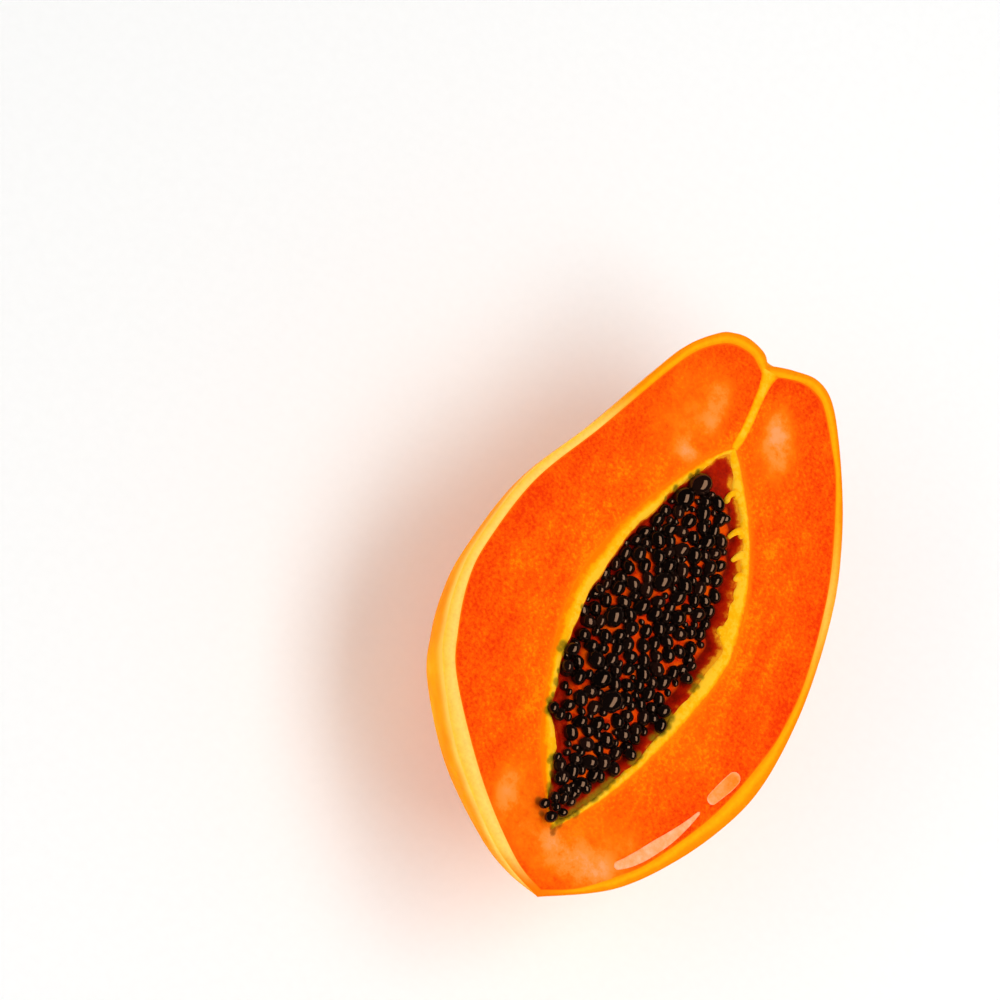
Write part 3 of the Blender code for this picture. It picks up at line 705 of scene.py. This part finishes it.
def lining_ring(outer, inner):
    """One section: the back from right to left, the left ridge, the cavity's wall, the right ridge."""
    (right, left), (inner_right, inner_left) = outer, inner
    marked = [
        (section_point(right, left, math.pi * j / LINING_BACK_COLUMNS), 0.0)
        for j in range(1, LINING_BACK_COLUMNS)
    ]
    left_ridge = ridge_points(left, inner_left, *CREST_LEFT)
    right_ridge = ridge_points(right, inner_right, *CREST_RIGHT)[::-1]
    wall = []
    for j in range(1, WALL_COLUMNS):
        angle = math.pi * (1 - j / WALL_COLUMNS)
        point = section_point(inner_right, inner_left, angle)
        start = left_ridge[-1][0].z if angle > math.pi / 2 else right_ridge[0][0].z
        wall.append((point + Vector((0, 0, start)), 1.0))
    return zip(*marked, *left_ridge, *wall, *right_ridge)


def lining_piece(name, rows, crests):
    """A piece of lining fibre, with its depth and its painted seed shadows worked out from where its points are.
    """
    piece = loft(
        name, rows, [lining_fibre], [0] * len(rows[0]), crest=crests,
        depth=at_each(rows, lambda point: max(-RIDGE_DROP - point.z, 0)), seed_juice=at_each(rows, seed_juice_at),
    )
    join_fruit(piece, "cavity_lining")


lining_piece("cavity_lining_half", *zip(*map(lining_ring, lining_outside, rim_edge)))


def close_ends(rows):
    """The rows with a point at the middle of each end."""
    ends = [[sum(row, Vector()) / len(row)] * len(row) for row in (rows[0], rows[-1])]
    return [ends[0]] + rows + [ends[1]]


strand_rows, strand_crests = [], []
for x, y, half_width, height in spread(STRAND_STATIONS, STRAND_STEPS):
    half_width *= 1 + hills((x, y), *STRAND_WAVES)
    ring, crests = [], []
    for k in range(STRAND_SIDES):
        angle = math.tau * k / STRAND_SIDES
        if angle < math.pi:
            rise = height * (1 + hills((x, y, 10 * math.cos(angle)), *STRAND_BUMPS))
        else:
            rise = STRAND_DEPTH
        spot = Vector((x + half_width * math.cos(angle), y, 0))
        ring.append(spot + Vector((0, 0, face_height(spot.x, spot.y) + rise * math.sin(angle) - STRAND_SINK)))
        # Yellow along the top, orange down the sides: partly the fibre's colour, partly a painted highlight.
        crests.append(STRAND_CREST * ramp(math.sin(angle), STRAND_CREST_FROM, 1))
    strand_rows.append(ring)
    strand_crests.append(crests)
lining_piece("core_strand", close_ends(strand_rows), [strand_crests[0]] + strand_crests + [strand_crests[-1]])

for number, stations in enumerate(STALKS):
    course = spread(stations, STALK_STEPS)
    rows = []
    for i, (x, y, z, radius) in enumerate(course):
        before, after = Vector(course[max(i - 1, 0)][:3]), Vector(course[min(i + 1, STALK_STEPS)][:3])
        along = (after - before).normalized()
        aside = along.cross(Vector((0, 0, 1))).normalized()
        upward = aside.cross(along)
        to_tip = math.dist(course[-1][:3], (x, y, z))
        reach = radius * math.sqrt(max(1 - (1 - min(to_tip / course[-1][3], 1)) ** 2, 0.0001))
        rows.append([
            Vector((x, y, z)) + (aside * math.cos(a) + upward * math.sin(a) * STALK_FLATNESS) * reach
            for a in (math.tau * k / STALK_SIDES for k in range(STALK_SIDES))
        ])
    rows = close_ends(rows)
    lining_piece(f"seed_stalk_{number}", rows, [[STALK_CREST] * STALK_SIDES for row in rows])


# The seeds: ripe papaya seeds, black and wrinkled under a clear wet skin, loosely held in the pulp. They lie in
# any direction, a few large ones among many small. Some lean on the rim, and some have spilled over it at the
# blossom end; along the upper right wall the pulp is bare.

LINING_RIGHT = [
    (1, -39.6), (6.2, -46.5), (17.5, -65), (24.9, -86), (27, -106), (25.6, -118), (21.6, -134.4), (14.6, -152.5),
    (5.1, -174.2), (-4.9, -190),
]
LINING_LEFT = [
    (1, -39.6), (-4.8, -46.2), (-10.4, -54.9), (-19.7, -74.5), (-27.6, -94.5), (-30.8, -113), (-30.3, -130),
    (-26.2, -148), (-18.9, -168), (-11, -184), (-4.9, -190),
]
WALL_ROWS = 34
WALL_ROW_CROWDING = 0.3
BED_WIDTH = 0.88            # as a share of the cavity's
BED_EDGE_DROP = 0.2         # how deep its edge lies, as a share of the cavity's depth there
BED_CROWN = 0.6             # and how much of that its middle has gained
SEED_DRAW = 41              # the random draw that places the seeds and turns them
SEED_RADII = (3.6, 2.3)     # of the first one placed and the last
SEED_SHRINK = 0.4           # how soon they grow small: under 1 is soon
SEED_COUNT = 215
SEED_TRIES = 400            # for each
SEED_SPACING = 0.8          # least distance as a share of both radii together
SEED_LENGTH = 1.1           # half length and half width as a share of the radius
SEED_WIDTH = 0.89
SEED_TAPER = 0.1            # how much thicker one end is
SEED_LIFT = 0.25            # how high it lies over the bed, as a share of the radius
SEED_TIP = 0.5              # how far it may stand on end, in radians
SEED_WALL_GAP = 1.6
SEED_RIGHT_GAP = 5.2        # down to BARE_WALL_END_Y
BARE_WALL_END_Y = -146
BARE_PULP = (2, -47.5, 6)   # x, y and radius of the bare place by the stem
BARE_LEFT = [               # x, y and radius of the bare places by the left rim
    (-19.3, -159.8, 2.6), (-17.0, -164.4, 2.4), (-14.6, -168.2, 2.2), (-27.2, -127.6, 2.0), (-22.0, -151.4, 1.6),
]
SEEDS_BY_HAND = [           # x, y and radius of the largest
    (-5.7, -55, 4.5), (-9, -62, 4.2), (-15.2, -115, 4.2), (-4, -94.6, 3.9), (-10.5, -138.5, 3.9),
    (-4, -144.3, 4.7), (-6.6, -182.4, 2.3),
]
LOOSE_SEEDS = [             # x, y, z and radius of the seeds that lean on the rim or have spilled over it
    (8.2, -61.4, 0.2, 2.1), (-24.6, -109.6, -0.4, 1.9), (-25.4, -134.9, 0.6, 2.6), (-24.4, -141.0, 0.2, 2.4),
    (-23.2, -157.2, 0.9, 2.2), (-19.8, -158.0, 0.4, 2.4), (19.4, -121.9, -0.8, 2.4), (19.3, -116.8, -1.2, 1.9),
    (16.2, -137.0, -0.8, 2.7), (17.0, -142.6, -0.3, 2.6), (13.3, -141.6, -1.0, 2.2), (10.2, -151.6, -0.8, 2.2),
    (10.7, -157.6, -0.3, 2.4), (7.2, -165.4, -0.3, 2.6), (3.6, -170.6, -0.2, 2.1), (0.7, -176.4, 0.2, 1.8),
    (-14.2, -172.2, 0.4, 1.7), (-12.4, -190.0, 2.0, 2.1), (-9.6, -186.2, 2.3, 2.1), (-6.6, -184.9, 2.2, 2.1),
    (-8.2, -189.0, 2.6, 1.8), (-3.4, -184.6, 1.8, 1.9), (-8.1, -193.0, 2.2, 2.3), (-4.8, -189.6, 2.2, 1.8),
    (-6.6, -181.0, 1.3, 1.8), (-2.9, -179.8, 1.0, 1.8), (-0.1, -177.4, 0.8, 2.0), (-11.0, -179.2, 0.9, 1.8),
    (-8.5, -178.2, 0.6, 1.7),
]
GAP_DRAW = 7
GAP_RADII = (1.2, 2.0)      # of the small seeds in the gaps between the others
GAP_TRIES = 2600
GAP_SPACING = 0.76
GAP_LIFT = 0.6              # how much higher than the others they lie
SEED_DETAIL = 3             # subdivisions of each seed's ball
SEED_WRINKLES = (0.05, 2.2)     # depth as a share of the radius, and how many there are

seed_wall = list(zip(*rims(LINING_RIGHT, LINING_LEFT, WALL_ROWS, WALL_ROW_CROWDING)))


def half_section(y):
    """Centre and half width of the cavity at a distance y along the core."""
    sides = []
    for side in seed_wall:
        low = next(i for i in range(1, len(side)) if side[i][1] <= y or i == len(side) - 1)
        above, below = side[low - 1], side[low]
        share = min(max((above[1] - y) / (above[1] - below[1]), 0), 1)
        sides.append(above[0] + (below[0] - above[0]) * share)
    return (sides[0] + sides[1]) / 2, (sides[0] - sides[1]) / 2


def bed_height(x, y):
    """Height of the bed that the seeds lie in: lowest at the cavity's wall, crowned in the middle."""
    centre, half = half_section(y)
    across = min(abs(x - centre) / max(half * BED_WIDTH, 1), 1)
    return -BED_EDGE_DROP * DEPTH_RATIO * half * (1 - BED_CROWN * (1 - across**2))


def is_free(x, y, radius, right_wall, spacing, placed):
    """Whether a seed may lie here: not on the bare pulp, and not too close to another one."""
    near_right = right_wall - x - radius < SEED_RIGHT_GAP and y > BARE_WALL_END_Y
    in_patch = math.dist((x, y), BARE_PULP[:2]) < BARE_PULP[2] + radius
    too_close = any(math.dist((x, y), s[:2]) < spacing * (radius + s[2]) for s in placed)
    return not (near_right or in_patch or too_close)


def place_seeds():
    """(x, y, radius) of every seed, thrown at random but not too close together, large before small."""
    draw = random.Random(SEED_DRAW)
    placed = list(SEEDS_BY_HAND)
    top, bottom = seed_wall[0][0][1], seed_wall[0][-1][1]
    for number in range(SEED_COUNT - len(placed)):
        radius = SEED_RADII[0] + (SEED_RADII[1] - SEED_RADII[0]) * (number / SEED_COUNT) ** SEED_SHRINK
        for _ in range(SEED_TRIES):
            y = draw.uniform(bottom, top)
            centre, half = half_section(y)
            room = half - radius - SEED_WALL_GAP
            if room < 0:
                continue
            x = centre + draw.uniform(-room, room)
            if is_free(x, y, radius, centre + half, SEED_SPACING, placed):
                placed.append((x, y, radius))
                break
    return placed


def fill_gaps(placed):
    """(x, y, radius) of small seeds thrown into the gaps between those already placed."""
    draw = random.Random(GAP_DRAW)
    small = []
    for _ in range(GAP_TRIES):
        radius = draw.uniform(*GAP_RADII)
        y = draw.uniform(seed_wall[0][-1][1], seed_wall[0][0][1])
        centre, half = half_section(y)
        room = max(half - radius - SEED_WALL_GAP, 0)
        x = centre + draw.uniform(-room, room)
        if room > 0 and is_free(x, y, radius, centre + half, GAP_SPACING, placed + small):
            small.append((x, y, radius))
    return small


bm = bmesh.new()
bmesh.ops.create_icosphere(bm, subdivisions=SEED_DETAIL, radius=1)
ball_points = [v.co.copy() for v in bm.verts]
ball_faces = [[v.index for v in f.verts] for f in bm.faces]
bm.free()
seed_points, seed_faces, seed_shades = [], [], []


def lay_seed(x, y, z, radius, draw):
    """Adds one egg-shaped, slightly wrinkled seed to the heap, turned at random."""
    spin, tip, heading = draw.uniform(0, math.tau), draw.uniform(-SEED_TIP, SEED_TIP), draw.uniform(0, math.tau)
    turn = Matrix.Rotation(heading, 3, "Z") @ Matrix.Rotation(tip, 3, "Y") @ Matrix.Rotation(spin, 3, "X")
    wrinkle_depth, wrinkle_count = SEED_WRINKLES
    first = len(seed_points)
    shade = (x * 7.3 + y * 3.1) % 1     # differs from seed to seed, with no draw of its own
    for point in ball_points:
        egg = 1 + SEED_TAPER * point.x
        rough = 1 + wrinkle_depth * noise.noise(point * wrinkle_count + Vector((x, y, 0)))
        egg_point = Vector((point.x * SEED_LENGTH, point.y * egg * SEED_WIDTH, point.z * egg * SEED_WIDTH))
        seed_points.append(NOTCH + (turn @ (egg_point * radius * rough) + Vector((x, y, z))) * MM)
        seed_shades.append(shade)
    seed_faces.extend([first + index for index in face] for face in ball_faces)


def covers_bare(x, y, radius):
    """Whether a seed would hide more than the edge of a bare place by the left rim."""
    return any(math.dist((x, y), spot[:2]) < spot[2] + radius / 2 for spot in BARE_LEFT)


turns = random.Random(SEED_DRAW)
heap = [seed for seed in place_seeds() if not covers_bare(*seed)]
for x, y, radius in heap:
    lay_seed(x, y, bed_height(x, y) + SEED_LIFT * radius, radius, turns)
gaps = fill_gaps(heap + [(x, y, radius) for x, y, z, radius in LOOSE_SEEDS])
gaps = [seed for seed in gaps if not covers_bare(*seed)]
for x, y, radius in gaps:
    lay_seed(x, y, bed_height(x, y) + SEED_LIFT * radius + GAP_LIFT, radius, turns)
for x, y, z, radius in LOOSE_SEEDS:
    lay_seed(x, y, z, radius, turns)

# Papaya seed coat: black-brown and wrinkled, under a thin clear jelly that gives each seed one sharp, warm
# highlight. Its wrinkles are about 0.9 mm apart.
seed_coat, tree, shader, place, shade = new_finish("papaya_seed_coat", "shade")
black = add(tree, "ValToRGB", {"Fac": shade}, stops=[(0.0, "#0A0605"), (0.7, "#120A08"), (1.0, "#1E0E0A")])
wrinkles = add(tree, "TexNoise", {"Vector": place, "Scale": per(0.9), "Detail": 2})
seed_normal = add(tree, "Bump", {"Height": wrinkles, "Distance": 0.00006, "Strength": 0.2})
plug(tree, shader, {
    "Base Color": black, "Normal": seed_normal, "Roughness": 0.06, "IOR": 1.6, "Specular Tint": linear("#F4BA90"),
})

mesh = bpy.data.meshes.new("seed_heap")
mesh.from_pydata(seed_points, [], seed_faces)
mesh.attributes.new("shade", "FLOAT", "POINT").data.foreach_set("value", seed_shades)
mesh.materials.append(seed_coat)
mesh.shade_smooth()
join_fruit(put("seed_heap", mesh), "seeds")


# The pulp: a soft orange-red jelly, grown round the seeds, that fills the cavity under them, shows between them,
# and climbs the wall up to the rim, darker and more fibrous there.

PULP_ROWS = 220
PULP_COLUMNS = 96
PULP_BACK_COLUMNS = 14
PULP_UNDER_RIM = 1.4        # how far it runs on under the rim
PULP_RISE = 0.35            # over the bed's own height
PULP_BANKS = (3.6, 1.5)     # width of the slope up to the rim, right and left
PULP_BANK_TOP = -0.5        # height at the rim
PULP_DEPTH = 0.9            # as a share of the cavity's
PULP_LUMPS = (0.55, 5, 4)   # height, size and layout of its lumps
PULP_BUMPS = (0.3, 2, 6)    # and of the bumps on them
PULP_SMOOTH_EDGE = 30       # they rise from nothing over the outermost 1/30 of the width
PULP_NARROW = 4             # and where half the cavity's width is under this they are lower, as is its reach
PULP_BARE_DARK = 0.45       # how dark the painted shade on the bare places is
PULP_BARE_RADIUS = 10       # and how far the one by the stem shows
PULP_BARE_SPREAD = 1.5      # and the ones by the left rim, as a share of their radius
PULP_LOW_DARK = 0.34        # how much painted shade darkens its bank towards the blossom end
PULP_LOW_FROM_Y = (-114, -132)
PULP_LEFT_SHADE = (0.5, 5)  # strength and width of the painted shade, dark red, along the left rim

# Papaya pulp: wet jelly and fibre, orange by the rim, dark red down the slope, and glowing orange under the
# seeds. Low on the slope by the seeds its darkest reds are partly painted shade; the darkening towards the blossom
# end, along the left rim and on the bare places is painted shade. Its fibres are about 0.2 mm and are drawn at
# 1.2 mm so that they show.
pulp_jelly, tree, shader, place, bank, seed_juice = new_finish("papaya_pulp", "bank", "seed_juice")
lobes = add(tree, "TexNoise", {"Vector": place, "Scale": per(5), "Detail": 5, "Roughness": 0.6})
lobe_shift = add(tree, "MapRange", {"Value": lobes, **CLOUD_SPAN, "To Min": -0.35, "To Max": 0.3})
lobed = add(tree, "Math", {0: bank, 1: lobe_shift}, operation="ADD")
# Its darkest stops, low on the slope by the seeds, are partly the jelly's red and partly painted shade.
bank_colour = add(tree, "ValToRGB", {"Fac": lobed}, stops=[
    (0.0, "#6A1204"), (0.2, "#860E02"), (0.42, "#A81402"), (0.66, "#B42402"), (0.84, "#CC580A"), (1.0, "#EA9614"),
])
bed_colour = add(tree, "ValToRGB", {"Fac": lobes}, stops=[
    (0.38, "#C01C00"), (0.46, "#F43C00"), (0.6, "#FF5A00"),
])
on_bank = add(tree, "MapRange", {"Value": bank, "From Min": 0.02, "From Max": 0.14})
clean = add(tree, "Mix", {0: on_bank, 6: bed_colour, 7: bank_colour}, **COLOURS)
# Painted olive-brown shadows of the seeds on the pulp's bank.
soak = add(tree, "MapRange", {"Value": bank, "From Min": 0.34, "From Max": 0.62, "To Max": 0.85})
soaked = add(tree, "Math", {0: seed_juice, 1: soak}, operation="MULTIPLY")
pulp_colour = add(tree, "Mix", {0: soaked, 6: clean, 7: linear("#8A7410")}, **COLOURS)
strings = add(tree, "TexNoise", {"Vector": place, "Scale": per(1.2), "Detail": 4})
pulp_normal = add(tree, "Bump", {"Height": strings, "Distance": 0.0005, "Strength": 0.6})
plug(tree, shader, {
    "Base Color": pulp_colour, "Normal": pulp_normal, "Roughness": 0.35, "IOR": 1.36,
    "Specular IOR Level": 0.1, "Specular Tint": linear("#FF7030"),
})

bare_places = [(BARE_PULP, PULP_BARE_RADIUS)] + [(spot, spot[2] * PULP_BARE_SPREAD) for spot in BARE_LEFT]


def pulp_ring(rim):
    """One section: the underside from right to left, then the lumpy top from left to right."""
    right, left = rim
    centre, half = (right[0] + left[0]) / 2, (right[0] - left[0]) / 2
    narrow = min(half / PULP_NARROW, 1)
    reach = half + PULP_UNDER_RIM * narrow
    points, banks = [], []
    for j in range(PULP_BACK_COLUMNS):
        angle = math.pi * j / PULP_BACK_COLUMNS
        y = (right[1] + left[1]) / 2 + (right[1] - left[1]) / 2 * math.cos(angle)
        z = PULP_BANK_TOP - PULP_DEPTH * DEPTH_RATIO * half * math.sin(angle)
        points.append(Vector((centre + reach * math.cos(angle), y, z)))
        banks.append(1.0)
    for j in range(PULP_COLUMNS):
        share = j / PULP_COLUMNS
        x = centre + reach * (2 * share - 1)
        y = left[1] + (right[1] - left[1]) * share
        from_right, from_left = max(right[0] - x, 0), max(x - left[0], 0)
        bank = max(math.exp(-(from_right / PULP_BANKS[0]) ** 2), math.exp(-(from_left / PULP_BANKS[1]) ** 2))
        # Painted shade darkens the bare pulp by the stem and by the left rim.
        bare = max(
            PULP_BARE_DARK * math.exp(-(math.dist((x, y), spot[:2]) / radius) ** 4)
            for spot, radius in bare_places
        )
        # Painted shade, dark red, in the pulp along the left rim.
        shaded = PULP_LEFT_SHADE[0] * math.exp(-(from_left / PULP_LEFT_SHADE[1]) ** 2)
        bed = bed_height(x, y) + PULP_RISE
        lumps = hills((x, y), *PULP_LUMPS) + hills((x, y), *PULP_BUMPS)
        lumps *= min(min(share, 1 - share) * PULP_SMOOTH_EDGE, 1) * narrow
        points.append(Vector((x, y, bed + (PULP_BANK_TOP - bed) * bank + lumps)))
        banks.append(max(bank * (1 - PULP_LOW_DARK * ramp(y, *PULP_LOW_FROM_Y)), bare, shaded))
    return points, banks


rows, banks = zip(*map(pulp_ring, rims(RIM_RIGHT, RIM_LEFT, PULP_ROWS)))
pulp = loft(
    "pulp_bed", rows, [pulp_jelly], [0] * len(rows[0]), bank=banks, seed_juice=at_each(rows, seed_juice_at)
)
join_fruit(pulp, "seeds")


# The stage: a matte white table and a pale room that is brightest near the floor. A tall soft panel at the right
# lights the fruit, one just in front of it is seen in reflections only, and a wide dim one stands at the left.

TABLE_SIZE_M = 12
half = TABLE_SIZE_M / 2
corners = [(-half, -half, 0), (half, -half, 0), (half, half, 0), (-half, half, 0)]
table_mesh = bpy.data.meshes.new("table")
table_mesh.from_pydata(corners, [], [(0, 1, 2, 3)])

# Matte white paint, rolled on: even and without gloss. Its tooth is about 1 mm and is drawn at 4 mm so that it
# can show.
table_paint, tree, shader, place = new_finish("matte_white_table")
tooth = add(tree, "TexNoise", {"Vector": place, "Scale": per(4), "Detail": 3})
table_colour = add(tree, "ValToRGB", {"Fac": tooth}, stops=[(0.3, "#FDFDFC"), (0.7, "#FFFFFE")])
plug(tree, shader, {"Base Color": table_colour, "Roughness": 0.9, "Specular IOR Level": 0.1})
table_mesh.materials.append(table_paint)
put("table", table_mesh)

CAMERA_LENS = 135
CAMERA_TILT = math.radians(27)      # off the cut face's upright
CAMERA_SWING = math.radians(52)     # from the fruit's left round towards its blossom end
CAMERA_ROLL = math.radians(24.547)
CAMERA_DISTANCE = 1378.6
CAMERA_ASIDE = (-98.5, -49.3)       # right and up from the stem notch

towards_camera = Vector((
    -math.sin(CAMERA_TILT) * math.cos(CAMERA_SWING), -math.sin(CAMERA_TILT) * math.sin(CAMERA_SWING),
    math.cos(CAMERA_TILT),
))
core = Vector((0, 1, 0))
core_seen = (core - towards_camera * core.dot(towards_camera)).normalized()
across_seen = core_seen.cross(towards_camera)
picture_right = across_seen * math.cos(CAMERA_ROLL) + core_seen * math.sin(CAMERA_ROLL)
picture_up = core_seen * math.cos(CAMERA_ROLL) - across_seen * math.sin(CAMERA_ROLL)
eye = towards_camera * CAMERA_DISTANCE + picture_right * CAMERA_ASIDE[0] + picture_up * CAMERA_ASIDE[1]


def aim(thing, place, right, up, back):
    """Stands a camera or a light at a place, with its right, its up and its back along three directions."""
    thing.matrix_world = Matrix.Translation(place) @ Matrix((right, up, back)).transposed().to_4x4()


camera = put("camera", bpy.data.cameras.new("camera"))
camera.data.lens = CAMERA_LENS
aim(camera, NOTCH + eye * MM, picture_right, picture_up, towards_camera)
bpy.context.scene.camera = camera

FRUIT_MIDDLE = Vector((0, 0, 0.05))


def panel(name, direction, distance, size, radiance, long_side):
    """A soft rectangular light facing the fruit, its longer side along long_side. Sizes are metres."""
    light = bpy.data.lights.new(name, "AREA")
    light.shape = "RECTANGLE"
    light.size, light.size_y = size
    light.energy = radiance * math.pi * size[0] * size[1]
    back = direction.normalized()
    side = long_side.cross(back).normalized()
    lamp = put(name, light)
    aim(lamp, FRUIT_MIDDLE + back * distance, side, back.cross(side), back)
    return lamp


KEY_TURN = math.radians(42)
KEY_SLANT = math.radians(18)
key_direction = towards_camera * math.cos(KEY_TURN) + picture_right * math.sin(KEY_TURN)
key_length = picture_up * math.cos(KEY_SLANT) + picture_right * math.sin(KEY_SLANT)
tall_panel = panel(
    "tall_panel", key_direction, distance=1.3, size=(0.64, 1.4), radiance=3.5, long_side=key_length
)
tall_panel.visible_glossy = False
shine_panel = panel(
    "shine_panel", key_direction, distance=1.2, size=(0.72, 1.86), radiance=5.6, long_side=key_length
)
shine_panel.visible_diffuse = False
left_panel = panel(
    "left_panel", Vector((-0.85, -0.4, 0.35)), distance=1.5, size=(1.6, 1.0), radiance=1.0,
    long_side=Vector((0, 0, 1)),
)
left_panel.visible_glossy = False

room = bpy.data.worlds.new("pale_room")
room.use_nodes = True
tree = room.node_tree
upward = add(tree, "SeparateXYZ", {0: add(tree, "TexCoord", out="Generated")}, out="Z")
downward = add(tree, "MapRange", {"Value": upward, "To Min": 1.0, "To Max": 0.0})
fall_off = add(tree, "Math", {0: downward, 1: 2.0}, operation="POWER")
brightness = add(tree, "MapRange", {"Value": fall_off, "To Min": 0.24, "To Max": 2.1})
tree.links.new(brightness, tree.nodes["Background"].inputs["Strength"])
tree.nodes["Background"].inputs["Color"].default_value = linear("#FFFFFF")
room.cycles_visibility.glossy = False
bpy.context.scene.world = room
bpy.context.scene.view_settings.view_transform = "Standard"
